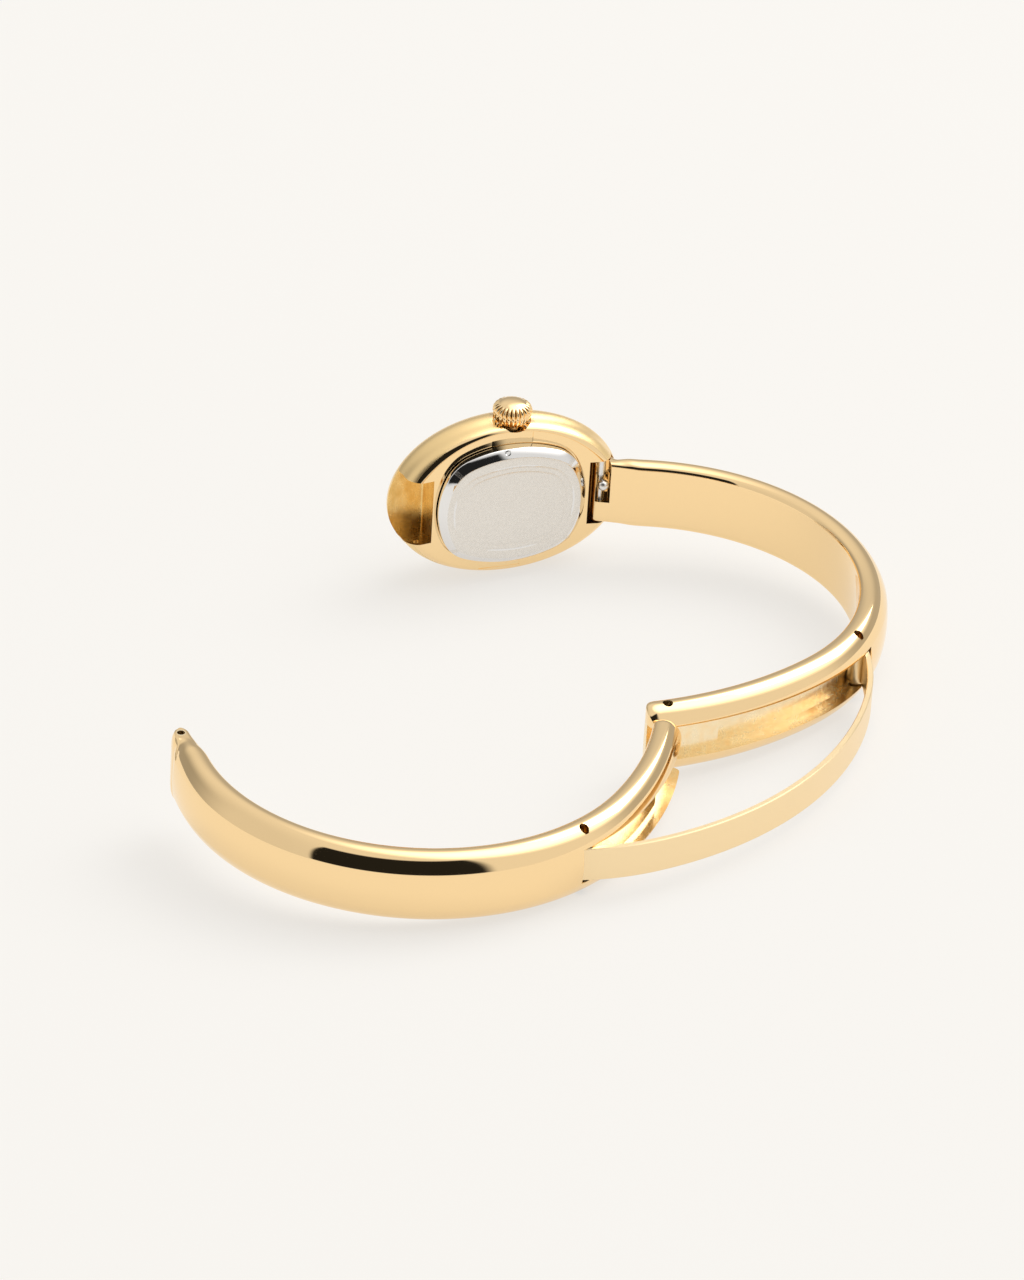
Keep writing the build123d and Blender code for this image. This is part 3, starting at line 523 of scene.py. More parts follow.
def stations(tip, nose, relief_to):
    """Distances along an arm, closer on its round ends, with a hair's step at each end wall."""
    quarter, nose_quarter = np.linspace(0, np.pi / 2, 14), np.linspace(0, np.pi / 2, 18)
    runs = [BARREL * (1 - np.cos(quarter)) - BARREL, np.linspace(0, 4, 60)[1:],
            np.linspace(4, CHANNEL_FROM, 150)[1:], [CHANNEL_FROM + HAIR],
            np.linspace(CHANNEL_FROM, RELIEF_FROM, 8)[1:], [RELIEF_FROM + HAIR],
            np.linspace(RELIEF_FROM, relief_to, 60)[1:], [relief_to + HAIR],
            np.linspace(relief_to, tip - nose, 40)[1:], tip - nose * (1 - np.sin(nose_quarter))[1:]]
    return np.concatenate(runs)[:, None]


def nose_width(z, fraction, height, inner, at_nose, share):
    """Keeps the flank's outline where the nose thins, then draws its sides in by d (1 - sqrt(1 - s^2))."""
    push = np.interp(height, flank_h, flank_z) - np.interp(fraction * ARM_THICKNESS, flank_h, flank_z)
    edge_push = np.interp(inner, flank_h, flank_z) - flank_z[0]
    flat_face = (fraction < 1e-6) & (np.abs(z) < FACE_HALF - ROUND + 1e-6)
    sides = (np.abs(z) > BESIDE_BAND) & ~flat_face
    z = z + np.sign(z) * np.where(at_nose & sides, push, 0)
    z = z * np.where(at_nose & flat_face, 1 + edge_push / (FACE_HALF - ROUND), 1)
    drop = NOSE_DRAW * (1 - np.sqrt(1 - share**2)) * np.clip((np.abs(z) - BESIDE_BAND) / NOSE_RUN, 0, 1)
    return z - np.sign(z) * drop


# %% An arm
def arm(name, tip_x, nose, power, place):
    """Sweeps the section along the arm; where the strip's channel runs, band points drop to its floor."""
    tip, relief_to = clasp_distance(tip_x), clasp_distance(tip_x + RELIEF_BACK)
    distance = stations(tip, nose, relief_to)
    inner, outer = arm_sides(distance, tip, nose, power)
    blend = smoothstep((distance - BLOCK_UNTIL) / BLOCK_FADE)
    fraction = whole(block_half)[:, 0] * (1 - blend) + whole(arm_half)[:, 0] * blend
    z = whole(block_half)[:, 1] * (1 - blend) + whole(arm_half)[:, 1] * blend
    height = inner + (outer - inner) * fraction
    at_nose = distance > tip - nose - HAIR
    z = nose_width(z, fraction, height, inner, at_nose, nose_share(distance, tip, nose))
    outside = fraction > 0.9
    in_channel = outside & (np.abs(z) < CHANNEL_HALF - 0.003) & (distance > CHANNEL_FROM)
    in_relief = outside & (np.abs(z) < RELIEF_HALF) & (distance > RELIEF_FROM) & (distance <= relief_to)
    height = np.where(in_channel, np.minimum(height, CHANNEL_FLOOR), height)
    height = np.where(in_relief, np.minimum(height, CHANNEL_FLOOR - RELIEF_DEPTH), height)
    height = np.maximum(height, inner)
    points = along_arm(distance, height, z)
    if place != "head":
        points = points * [-1, 1, 1]
    return solid(name, points, capped_faces(*height.shape), place)


# %% Cutters that both arms share
THROUGH = 6
SWING_ROOM, TAIL_ROOM, KNUCKLE_ROOM = 1.2, 0.05, 0.1
TAIL_CLEAR, KNUCKLE_CLEAR = 0.015, 0.01


def beside_hinge(places):
    """Outline beside a hinge pin from pairs: distance towards the head, and outwards."""
    a = math.radians(HINGE_ANGLE)
    ahead, outwards = np.array([-math.cos(a), math.sin(a)]), np.array([math.sin(a), math.cos(a)])
    return [hinge_point + ahead * p + outwards * q for p, q in places]


def mirrored(outline, place):
    """The same outline for the other arm, which is the mirror image in X."""
    return [(x, y) if place == "head" else (-x, y) for x, y in outline]


def rod(name, point, radius, low, high, place, bevel=0.0):
    """Upright rod at a point of the mid plane, its rims bevelled."""
    profile = [(0, low), (radius, low), (radius, high), (0, high)]
    if bevel:
        profile[1:3] = [(radius - bevel, low), (radius, low + bevel), (radius, high - bevel), (radius - bevel, high)]
    x, y = mirrored([point], place)[0]
    return lathe(name, profile, (x, y, 0), place=place)


def hinge_cutters(place):
    """Room that the strip's tail swings into, knuckle pocket and pin hole; no two walls lie in one plane."""
    turn = math.radians(OPEN_ANGLE + SWING_ROOM)
    reach = math.hypot(TAIL, CREASE - PIN_RISE) + TAIL_ROOM
    near = TAIL / math.cos(turn)
    slope = math.tan(turn)
    rise = (-near * slope + math.sqrt(reach**2 * (1 + slope**2) - near**2)) / (1 + slope**2)
    start = math.atan2(rise, near + slope * rise)
    arc = np.linspace(start, math.pi / 2, 12)
    room = [(0, 0), (near, 0)] + [(reach * math.cos(t), reach * math.sin(t)) for t in arc]
    tail_half, knuckle_half = CHANNEL_HALF + TAIL_CLEAR, CHANNEL_HALF + KNUCKLE_CLEAR
    pin = rod("cut.pin", hinge_point, PIN_RADIUS, -THROUGH, THROUGH, place)
    knuckle = rod("cut.knuckle", hinge_point, KNUCKLE + KNUCKLE_ROOM, -knuckle_half, knuckle_half, place)
    tail = prism("cut.tail", mirrored(beside_hinge(room), place), -tail_half, tail_half, place)
    return tail, knuckle, pin


# %% [markdown]
# ## The upper arm
# Its inside carries the slot of the lug bar's finger ball, open to the top edge, and its clasp nose
# has one cross hole.

# %% Which faces were never polished, and which get painted shade
BAR_BORE = 0.54
RAW_LOW, RAW_HIGH = 0.3, CREASE - 0.06


def distance_to(at, point):
    """Distance in the mid plane from each place to a point."""
    return np.hypot(*(at[:, :2] - point).T)


def raw_and_shaded_faces(piece, place, mirror):
    """Marks raw faces between the inner and outer side in the strip's channel and the lug bar's bore; the pin holes'
    walls get painted shade.
    """
    at = face_middles(piece, place)
    at[:, 0] *= mirror
    from_side = at[:, :2] - SIDE_CENTRE
    turn = np.degrees(np.arctan2(from_side[:, 0], from_side[:, 1])) % 360
    height = np.where(turn < bend_change, np.hypot(*from_side.T) - SIDE_RADIUS,
                      distance_to(at, CLASP_CENTRE) - CLASP_RADIUS)
    sunk = (np.abs(at[:, 2]) < CHANNEL_HALF + 0.02) & (height > RAW_LOW) & (height < RAW_HIGH)
    sunk &= (turn > TAIL_ANGLE - 0.3) | (at[:, 1] < hinge_point[1])
    sunk &= distance_to(at, hinge_point) > PIN_RADIUS + 0.02
    sunk |= distance_to(at, BAR) < BAR_BORE + 0.005
    # painted shade: the walls of the hinge pin holes are painted dark brown
    bore_shade_faces = (distance_to(at, hinge_point) < PIN_RADIUS + 0.01) & (np.abs(at[:, 2]) > CHANNEL_HALF)
    paint_faces(piece, np.where(bore_shade_faces, 2, sunk), raw, bore_gold)
    print(piece.name, "raw faces", int(sunk.sum()))


# %% Upper arm
UPPER_NOSE, UPPER_POWER = 1.15, 2.3
TIP_HOLE_BACK, TIP_HOLE_RISE, TIP_HOLE_RADIUS = 2.2, 1.2, 0.53
SLOT_HALF, SLOT_FLOOR, SLOT_LOW = 0.7, -4, -1.1
upper = arm("upper_arm_gold", UPPER_TIP_X, UPPER_NOSE, UPPER_POWER, "head")
tip_angle = 180 - math.degrees(math.asin((UPPER_TIP_X + TIP_HOLE_BACK) / CLASP_RADIUS))
tip_hole = polar(CLASP_CENTRE, CLASP_RADIUS + TIP_HOLE_RISE, tip_angle)
slot_from, slot_to = BAR[0] - SLOT_HALF, BAR[0] + SLOT_HALF
slot = [(slot_from, SLOT_FLOOR), (slot_to, SLOT_FLOOR), (slot_to, BAR[1]), (slot_from, BAR[1])]
for cutter in hinge_cutters("head"):
    cut(upper, cutter)
cut(upper, rod("cut.bar", BAR, BAR_BORE, -THROUGH, THROUGH, "head"), prism("cut.slot", slot, SLOT_LOW, THROUGH),
    rod("cut.tip", tip_hole, TIP_HOLE_RADIUS, -THROUGH, THROUGH, "head"))
dress(upper, gold, "arm_gold", "head_and_upper_arm", "upper_arm")
raw_and_shaded_faces(upper, "head", 1)

# %% [markdown]
# ## The lower arm
# The same form turned over. Its free end keeps the open bore of the missing lug bar, and the clasp
# bolt slides in a bore under the channel, its finger ball reaching through a short slot.

# %% Lower arm
LOWER_NOSE, LOWER_POWER = 0.9, 2.6
END_BORE = 0.4
BOLT_BACK, BOLT_RISE, BOLT_AHEAD = 3.4, 1.0, 1.5
BOLT_RADIUS, BOLT_LENGTH = 0.44, 4.2
BALL_AHEAD, BALL_BEHIND, BALL_REACH, BALL_HALF = 0.3, 0.9, 1.4, 0.3
lower = arm("lower_arm_gold", LOWER_TIP_X, LOWER_NOSE, LOWER_POWER, "lower")
for cutter in hinge_cutters("lower"):
    cut(lower, cutter)
cut(lower, rod("cut.bore", BAR, END_BORE, -THROUGH, THROUGH, "lower"))
bolt_angle = 180 - math.degrees(math.asin((LOWER_TIP_X + BOLT_BACK) / CLASP_RADIUS))
bolt_point = polar(CLASP_CENTRE, CLASP_RADIUS + BOLT_RISE, bolt_angle)
away = math.radians(bolt_angle)
ahead = np.array([math.cos(away), -math.sin(away)])
inwards = np.array([-math.sin(away), -math.cos(away)])
front = bolt_point + ahead * BOLT_AHEAD
cut(lower, bar("cut.bolt", BOLT_RADIUS, 0, BOLT_LENGTH, (-front[0], front[1], 0),
               axis=(ahead[0], -ahead[1], 0), place="lower", sides=40))
slot_low, slot_high = bolt_point + ahead * BALL_AHEAD, bolt_point - ahead * BALL_BEHIND
slot = [slot_low, slot_high, slot_high + inwards * BALL_REACH, slot_low + inwards * BALL_REACH]
cut(lower, prism("cut.bolt_slot", mirrored(slot, "lower"), -BALL_HALF, BALL_HALF, "lower"))
dress(lower, gold, "arm_gold", "lower_arm", "lower_arm")
raw_and_shaded_faces(lower, "lower", -1)

# %% [markdown]
# ## Strip and hinge pins
# The strip is a flat band that follows both bends, with a round knuckle on each pin. It is brushed
# along its outer face and slightly broken on its edges. The pins end a little below the flanks.

# %% Strip
STRIP_HALF, STRIP_BEVEL = 1.83, 0.09
KNUCKLE_HALF, PIN_ROOM, PIN_CUT_HALF = 1.8, 0.04, 4


def strip(name, low, high, half_width, bevel):
    """Sweeps a bevelled rectangle from one tail over the clasp bend to the other tail."""
    section = np.array([(low, half_width - bevel), (low + bevel, half_width), (high - bevel, half_width),
                        (high, half_width - bevel), (high, -half_width + bevel), (high - bevel, -half_width),
                        (low + bevel, -half_width), (low, -half_width + bevel)])
    half = np.concatenate([np.linspace(side_distance(TAIL_ANGLE), side_length, 40),
                           np.linspace(side_length, clasp_distance(0), 90)[1:]])[:, None]
    one = along_arm(half, section[:, 0], section[:, 1])
    points = np.concatenate([one, one[-2::-1] * [-1, 1, 1]])
    return solid(name, points, capped_faces(*points.shape[:2]), "blade")


blade = strip("clasp_strip", CREASE - STRIP_THICKNESS, CREASE, STRIP_HALF, STRIP_BEVEL)
pins = [(*mirrored([hinge_point], side)[0], 0) for side in ("head", "lower")]
for pin_at in pins:
    knuckle = bar("join.knuckle", KNUCKLE, -KNUCKLE_HALF, KNUCKLE_HALF, pin_at, place="blade")
    cut(blade, knuckle, operation="UNION")
for pin_at in pins:
    cut(blade, bar("cut.pin", PIN_RADIUS + PIN_ROOM, -PIN_CUT_HALF, PIN_CUT_HALF, pin_at, place="blade"))
dress(blade, brushed, "blade_gold", "clasp_blade", "clasp_blade")

# %% Hinge pins
PIN_HALF, PIN_GAP, PIN_BEVEL = 2.7, 0.02, 0.14
for side, body, node in (("head", "head_and_upper_arm", "upper_hinge_pin"),
                         ("lower", "lower_arm", "lower_hinge_pin")):
    pin = rod(node + "_gold", hinge_point, PIN_RADIUS - PIN_GAP, -PIN_HALF, PIN_HALF, side, bevel=PIN_BEVEL)
    dress(pin, pin_gold, "crown_gold", body, node)

# %% [markdown]
# ## The case
# The head is an oval dome. Its flank is satin, its back rim is polished and hollowed to the curve
# of the wrist, and a soft edge parts the two. Going round the oval is one parameter. The other
# follows a closed loop: over the rim, up the flank, across the bezel, down into the opening over
# the dial, and back through the movement's space to the case back's seat.

# %% Smooth shares of the case's oval at each height
HALF_LENGTH, HALF_WIDTH = 12.7, 9.05
CASE_BOTTOM, CASE_TOP = -0.9, 6.3
HEIGHTS = CASE_BOTTOM + (CASE_TOP - CASE_BOTTOM) * np.array([0, 0.18, 0.375, 0.522, 0.75, 0.917, 1])
LENGTHS = HALF_LENGTH * np.array([0.872, 0.97, 0.99, 1, 0.935, 0.822, 0.74])
WIDTHS = HALF_WIDTH * np.array([0.71, 0.925, 0.978, 1, 0.945, 0.84, 0.768])


def smooth_through(x, knots, values):
    """Natural cubic spline: cubics that meet with equal slope and curvature at every knot."""
    gap = np.diff(knots)
    count = len(knots)
    system = np.eye(count)
    right_side = np.zeros(count)
    inner = np.arange(1, count - 1)
    system[inner, inner - 1] = gap[:-1]
    system[inner, inner] = 2 * (gap[:-1] + gap[1:])
    system[inner, inner + 1] = gap[1:]
    right_side[1:-1] = 3 * np.diff(np.diff(values) / gap)
    bend = np.linalg.solve(system, right_side)
    i = np.clip(np.searchsorted(knots, x) - 1, 0, count - 2)
    d = x - knots[i]
    slope = (values[i + 1] - values[i]) / gap[i] - gap[i] * (2 * bend[i] + bend[i + 1]) / 3
    return values[i] + slope * d + bend[i] * d**2 + (bend[i + 1] - bend[i]) / (3 * gap[i]) * d**3


def case_wall(y, turn):
    """Outer wall: an ellipse whose half axes follow the splines, (a cos t, y, b sin t)."""
    y, turn = np.broadcast_arrays(y, turn)
    a = smooth_through(y, HEIGHTS, LENGTHS)
    b = smooth_through(y, HEIGHTS, WIDTHS)
    return np.stack([a * np.cos(turn), y, b * np.sin(turn)], -1)


# %% Ovals of the openings
CORNER_AT, CORNER_ROUND = 0.78, 0.6


def leave(middle, radius, across, along):
    """Where a ray from the origin leaves a circle: d.c + sqrt((d.c)^2 - c.c + r^2)."""
    dot = across * middle[0] + along * middle[1]
    return dot + np.sqrt(np.maximum(dot**2 - middle[0]**2 - middle[1]**2 + radius**2, 0))


def oval(half_length, half_width, way):
    """Barrel-sided oval at a direction: where the ray leaves its four arcs and rounded corners."""
    cx, cz = CORNER_AT * half_length, CORNER_AT * half_width
    long_r = (cx**2 + (half_width - cz) ** 2) / (2 * (half_width - cz))
    side_r = (cz**2 + (half_length - cx) ** 2) / (2 * (half_length - cx))
    corner = CORNER_ROUND * half_width
    big, small = np.array([0, half_width - long_r]), np.array([half_length - side_r, 0])
    r1, r2, d = long_r - corner, side_r - corner, np.hypot(*(small - big))
    foot = (r1**2 - r2**2 + d**2) / (2 * d)
    unit = (small - big) / d
    middle = big + unit * foot + np.array([unit[1], -unit[0]]) * math.sqrt(max(r1**2 - foot**2, 0))
    touch_big = big + (middle - big) / r1 * long_r
    touch_small = small + (middle - small) / r2 * side_r
    across, along = np.abs(np.cos(way)), np.abs(np.sin(way))
    direction = np.arctan2(along, across)
    corner_from, corner_to = math.atan2(touch_small[1], touch_small[0]), math.atan2(touch_big[1], touch_big[0])
    in_corner = (direction > corner_from) & (direction < corner_to)
    on_arc = np.where(direction >= corner_to, leave(big, long_r, across, along), leave(small, side_r, across, along))
    reach = np.where(in_corner, leave(middle, corner, across, along), on_arc)
    return reach * np.cos(way), reach * np.sin(way)


# %% Loops and soft corners
def ring(half_length, half_width, y, way):
    """Closed loop of an oval at a height, or at one height for each direction."""
    x, z = oval(half_length, half_width, way)
    return np.stack(np.broadcast_arrays(x, y, z), -1)


def soften(a, corner, c, count=6):
    """Rounds a corner row of a grid: (1-t)^2 a + 2t(1-t) corner + t^2 c, row by row."""
    t = np.linspace(0, 1, count)[:, None, None]
    return (1 - t) ** 2 * a + 2 * t * (1 - t) * corner + t**2 * c


# %% Rim and seats of the case
RIM_HEIGHT, RIM_RADIUS = 0.45, 65.0
BACK_MOUTH, BACK_LIP = (8.25, 6.95), (8.62, 7.32)
CRYSTAL_MOUTH, DIAL_MOUTH, MOVEMENT_SPACE = (8.1, 6.5), (7.0, 5.7), (7.5, 6.2)
CRYSTAL_SEAT, DIAL_SEAT, BACK_SEAT = 5.4, 4.45, 0.6
RIM_SOFT, BEZEL_SOFT = 0.34, 0.3


def rim_line(x):
    """Height of the hollowed rim at X: a cylinder that fits the wrist."""
    return RIM_HEIGHT - RIM_RADIUS + np.sqrt(RIM_RADIUS**2 - x**2)


def on_rim(loop):
    """The same loop, set on the hollowed rim."""
    return np.stack([loop[..., 0], rim_line(loop[..., 0]), loop[..., 2]], -1)


# %% Case grid
turn = np.linspace(0, 2 * np.pi, 288, endpoint=False)
way = np.arctan2(HALF_WIDTH * np.sin(turn), HALF_LENGTH * np.cos(turn))
edge_y = np.zeros_like(turn)
for _ in range(20):
    edge_y = rim_line(case_wall(edge_y, turn)[:, 0])
rim_out = case_wall(edge_y, turn)
mouth, lip_in = on_rim(ring(*BACK_MOUTH, 0, way)), on_rim(ring(*BACK_LIP, 0, way))
rim_in = on_rim(mouth + (rim_out - mouth) * 0.86)
wall_low = case_wall(edge_y + RIM_SOFT, turn)
climb = np.linspace(0, 1, 46)[:, None]
wall = case_wall(edge_y + RIM_SOFT + climb * (CASE_TOP - BEZEL_SOFT - edge_y - RIM_SOFT), turn)
top = case_wall(np.full_like(turn, CASE_TOP), turn)
crystal_mouth = ring(*CRYSTAL_MOUTH, CASE_TOP, way)
bezel = top + (crystal_mouth - top) * 0.3
mouth_in = mouth + [0, 0.09, 0]
rows = np.concatenate([
    mouth_in[None], soften(mouth_in, mouth, mouth + (lip_in - mouth) * 0.35, 4)[1:],
    on_rim(mouth + (rim_in - mouth) * np.linspace(0.3, 0.9, 6)[:, None, None]),
    soften(rim_in, rim_out, wall_low, 9), wall[1:], soften(wall[-1], top, bezel, 8)[1:],
    soften(bezel + (crystal_mouth - bezel) * 0.8, crystal_mouth, crystal_mouth - [0, 0.12, 0], 4),
    ring(*CRYSTAL_MOUTH, CRYSTAL_SEAT, way)[None], ring(*DIAL_MOUTH, CRYSTAL_SEAT, way)[None],
    ring(*DIAL_MOUTH, DIAL_SEAT, way)[None], ring(*MOVEMENT_SPACE, DIAL_SEAT, way)[None],
    ring(*MOVEMENT_SPACE, BACK_SEAT, way)[None], ring(*BACK_MOUTH, BACK_SEAT, way)[None],
])
case = solid("case_gold", rows, grid_faces(*rows.shape[:2], closed=True))
print("case grid", rows.shape)

# %% [markdown]
# Openings of the case: a recess at each end for an arm's tongue, lug holes in the recess cheeks,
# the scoop under the crown and the tube's hole. The recess floor is slightly hollowed, and it was
# left pitted; the recesses' dark colour is also painted shade.

# %% Case openings
RECESS_WALL, RECESS_HALF, RECESS_RUN = 8.63, 3.73, 5
CORNER = 0.22
STEM = (0.45, 2.3)
# ceiling of a recess, and how far its floor falls away: the seated arm's, then the empty one's
SEATED, EMPTY = (1.55, 0.1), (3.3, 0.9)
LUG_RADIUS, LUG_HALF = 0.35, 4.03
TUBE_RADIUS = 0.8
PRY_BACK, PRY_AHEAD, PRY_TOP = 2.3, 2.25, 0.475
BEYOND_CASE, BELOW_CASE = 13.95, -3


def recess(end, ceiling, fall):
    """Prism outline in X and Y: the end wall, then a floor that falls away as a shallow arc."""
    run = np.linspace(0, 1, 14)
    bend = np.linspace(0, np.pi / 2, 7)[:-1]
    xs = np.concatenate([RECESS_WALL + CORNER * (1 - np.cos(bend)), RECESS_WALL + CORNER + run * RECESS_RUN])
    ys = np.concatenate([ceiling - CORNER * (1 - np.sin(bend)), ceiling - fall * run**2])
    return [(end * x, y) for x, y in zip(xs, ys)] + [(end * BEYOND_CASE, BELOW_CASE), (end * RECESS_WALL, BELOW_CASE)]


# %% Cutting the openings
openings = []
for end, depth in ((1, SEATED), (-1, EMPTY)):
    openings.append(prism("cut.recess", recess(end, *depth), -RECESS_HALF, RECESS_HALF))
    openings.append(bar("cut.lug", LUG_RADIUS, -LUG_HALF, LUG_HALF, (end * BAR[0], BAR[1], 0), sides=32))
openings.append(lathe("cut.scoop", [(0, 8.1), (1.85, 8.1), (2.02, 8.25), (2.02, 11), (0, 11)], (*STEM, 0), sides=96))
openings.append(bar("cut.tube", TUBE_RADIUS, 5.6, 9, (*STEM, 0), sides=48))
for low, high, middle in ((6.6, 8.02, 0.0), (-8.02, -6.6, -0.7)):
    start, stop = middle - PRY_BACK, middle + PRY_AHEAD
    pry = [(start, -1), (stop, -1), (stop, PRY_TOP), (start, PRY_TOP)]
    openings.append(prism("cut.pry", pry, low, high))
print("openings of the case", len(openings))
cut(case, *openings)
dress(case, gold, "case_gold", "head_and_upper_arm", "case_body", angle=30)

# %% Satin flank, pitted recesses with painted shade
FLANK_OVER_RIM, FLANK_TOP, FLANK_SHARE = 0.42, 5.7, 0.72
SCOOP_RADIUS, SCOOP_FROM = 2.36, 8
at = face_middles(case, "head")
x, y, z = at.T
seated_end = x > 0
outside = (x / HALF_LENGTH) ** 2 + (z / HALF_WIDTH) ** 2
on_wall = np.clip(y, CASE_BOTTOM, CASE_TOP)
wall_x, wall_z = case_wall(on_wall, 0.0)[:, 0], case_wall(on_wall, np.pi / 2)[:, 2]
wall_gap = 1 - np.hypot(x / wall_x, z / wall_z)
wall_gap = np.where(np.abs(z) > RECESS_HALF - 0.01, 1, wall_gap * 4)
on_flank = (y > rim_line(x) + FLANK_OVER_RIM) & (y < FLANK_TOP) & (outside > FLANK_SHARE)
in_scoop = (distance_to(at, STEM) < SCOOP_RADIUS) & (z > SCOOP_FROM)
shaded_recess = (np.abs(x) > RECESS_WALL - 0.01) & (np.abs(z) < RECESS_HALF + 0.005) & (wall_gap > 0.03)
shaded_recess &= y < np.where(seated_end, SEATED[0], EMPTY[0]) + 0.02
# painted shade: the seated recess is painted dark brown, the empty one in dark pitted gold
finish_of = np.where(shaded_recess, np.where(seated_end, 3, 2), np.where(on_flank & ~in_scoop, 1, 0))
paint_faces(case, finish_of, satin, pits_and_painted_shade, bore_gold)
print("satin faces", int((finish_of == 1).sum()), "pitted faces", int((finish_of == 2).sum()))

# %% [markdown]
# ## The case back
# A drafted steel cup that snaps into the case. Its wall is polished. Its face is matte and bare,
# with a double ring of shallow grooves, and a small dimple at the edge helps to prise it open.

# %% Case back
FACE_Y, GROOVE_DEPTH, GROOVE_OUTSIDE = -1.25, 0.025, (6.42, 4.77)
way = np.linspace(0, 2 * np.pi, 384, endpoint=False)
# each row: half length, half width, height
profile = [(0.02, 0.02, FACE_Y), (2.0, 1.6, FACE_Y), (4.2, 3.2, FACE_Y), (5.6, 4.1, FACE_Y)]
for outer_a, outer_b in ((6.05, 4.5), (6.7, 5.1)):
    profile += [(outer_a - 0.2, outer_b - 0.2, FACE_Y), (outer_a - 0.13, outer_b - 0.13, FACE_Y + GROOVE_DEPTH),
                (outer_a - 0.07, outer_b - 0.07, FACE_Y + GROOVE_DEPTH), (outer_a, outer_b, FACE_Y)]
profile += [(7.0, 5.6, FACE_Y), (7.3, 6.0, FACE_Y), (7.36, 6.06, FACE_Y + 0.012), (7.41, 6.11, FACE_Y + 0.045),
            (8.1, 6.8, -0.64), (8.14, 6.84, -0.58), (8.15, 6.85, -0.5), (8.15, 6.85, 0.6), (7.3, 6.0, 0.6),
            (7.3, 6.0, 1.1), (0.02, 0.02, 1.1)]
cup = np.array([ring(a, b, y, way) for a, b, y in profile])
back_cover = solid("caseback_steel", cup, capped_faces(*cup.shape[:2]))
dimple = [(0, -0.1), (0.2, -0.1), (0.3, 0.0), (0.36, 0.14), (0.4, 0.6), (0, 0.6)]
cut(back_cover, lathe("cut.dimple", dimple, (-0.9, -0.86, 6.5), axis=(0, -0.77, 0.64), sides=40))
dress(back_cover, matte_back, "back_steel", "head_and_upper_arm", "caseback", angle=28)
x, y, z = face_middles(back_cover, "head").T
past_face = y > FACE_Y + 0.012
groove = past_face & (np.abs(x) < GROOVE_OUTSIDE[0]) & (np.abs(z) < GROOVE_OUTSIDE[1]) & (y < 0)
paint_faces(back_cover, np.where(groove, 0, past_face), steel)
print("polished faces of the case back", int((past_face & ~groove).sum()))

# %% [markdown]
# ## The crown
# A fluted onion: a smooth domed cap over two tiers of ribs that meet at the widest line. The radius
# at each height is lowered between ribs by one minus a rounded cosine, so the ribs are full and
# the grooves are sharp.

# %% Crown
CROWN_BASE, RIBS, RIB_ROUND = 8.47, 24, 0.7
crown_turn = np.linspace(0, 2 * np.pi, RIBS * 16, endpoint=False)
crown_rows = np.array([
    # radius, height over the base, depth of the grooves
    (0.355, 2.14, 0), (0.355, 1.3, 0), (1.04, 1.3, 0), (1.04, 0.06, 0), (1.12, 0.0, 0), (1.4, 0.0, 0.05),
    (1.56, 0.05, 0.25), (1.7, 0.25, 0.36), (1.84, 0.52, 0.38), (1.97, 0.8, 0.36), (2.04, 1.0, 0.28),
    (2.02, 1.12, 0.14), (1.97, 1.19, 0.05), (2.03, 1.25, 0.16), (2.1, 1.35, 0.3), (2.1, 1.5, 0.4),
    (2.06, 1.66, 0.44), (1.98, 1.82, 0.44), (1.86, 1.96, 0.4), (1.72, 2.07, 0.32), (1.58, 2.14, 0.2),
    (1.47, 2.18, 0.07), (1.4, 2.2, 0.0), (1.3, 2.26, 0), (1.08, 2.355, 0), (0.8, 2.425, 0),
    (0.45, 2.466, 0), (0.2, 2.482, 0), (0.02, 2.488, 0)])
rib = np.abs(np.cos(RIBS * crown_turn / 2)) ** RIB_ROUND
crown_r = crown_rows[:, 0, None] - crown_rows[:, 2, None] * (1 - rib)
crown_points = np.stack([STEM[0] + crown_r * np.cos(crown_turn), STEM[1] + crown_r * np.sin(crown_turn),
                         np.broadcast_to(CROWN_BASE + crown_rows[:, 1, None], crown_r.shape)], -1)
crown = solid("crown_gold", crown_points, capped_faces(*crown_r.shape))
dress(crown, gold, "crown_gold", "crown", "crown", angle=50)

# %% [markdown]
# ## Camera
# The photo was taken with a long lens from 31 degrees above the table. The camera was fitted to
# the bangle's own edges, so it is stated in the bangle's leaning frame and carried to the table.

# %% Camera at the photo's angle
ELEVATION, ROLL, DISTANCE, FOCAL_PX = 31.1, -3.52, 800.0, 7840.0
SENSOR, FRAME_HEIGHT_PX = 36.0, 1280.0
elevation, roll = math.radians(ELEVATION), math.radians(ROLL)
bangle = Matrix.Translation(shift) @ lean
eye = bangle @ (Vector((0, -math.cos(elevation), math.sin(elevation))) * DISTANCE)
right = (bangle.to_3x3() @ Vector((1, 0, 0))).normalized()
up = (bangle.to_3x3() @ Vector((0, math.sin(elevation), math.cos(elevation)))).normalized()
cam_right = right * math.cos(roll) - up * math.sin(roll)
cam_up = right * math.sin(roll) + up * math.cos(roll)
cam_back = cam_right.cross(cam_up)
camera_data = bpy.data.cameras.new("camera")
camera_data.sensor_fit = "VERTICAL"
camera_data.sensor_height = SENSOR
camera_data.lens = SENSOR * FOCAL_PX / FRAME_HEIGHT_PX
camera_data.clip_start = 0.01
camera_data.clip_end = 20.0
camera = bpy.data.objects.new("camera", camera_data)
bpy.context.scene.collection.objects.link(camera)
looking = Matrix((cam_right, cam_up, cam_back)).transposed().to_4x4()
camera.matrix_world = Matrix.Translation(eye * MM) @ looking
bpy.context.scene.camera = camera
print("lens", round(camera_data.lens, 1), "eye", [round(c, 1) for c in eye])

# %% [markdown]
# ## Studio
# A pale floor catches the soft shadows. Mirror-bright metal shows its surroundings, so the room
# matters more than the lamp. It is pale all round, a little dimmer to the left and low behind, with
# a soft glow overhead to the right. One dark panel stands in front, where the photographer's side
# of a studio is, and it makes the black streaks on the rims.

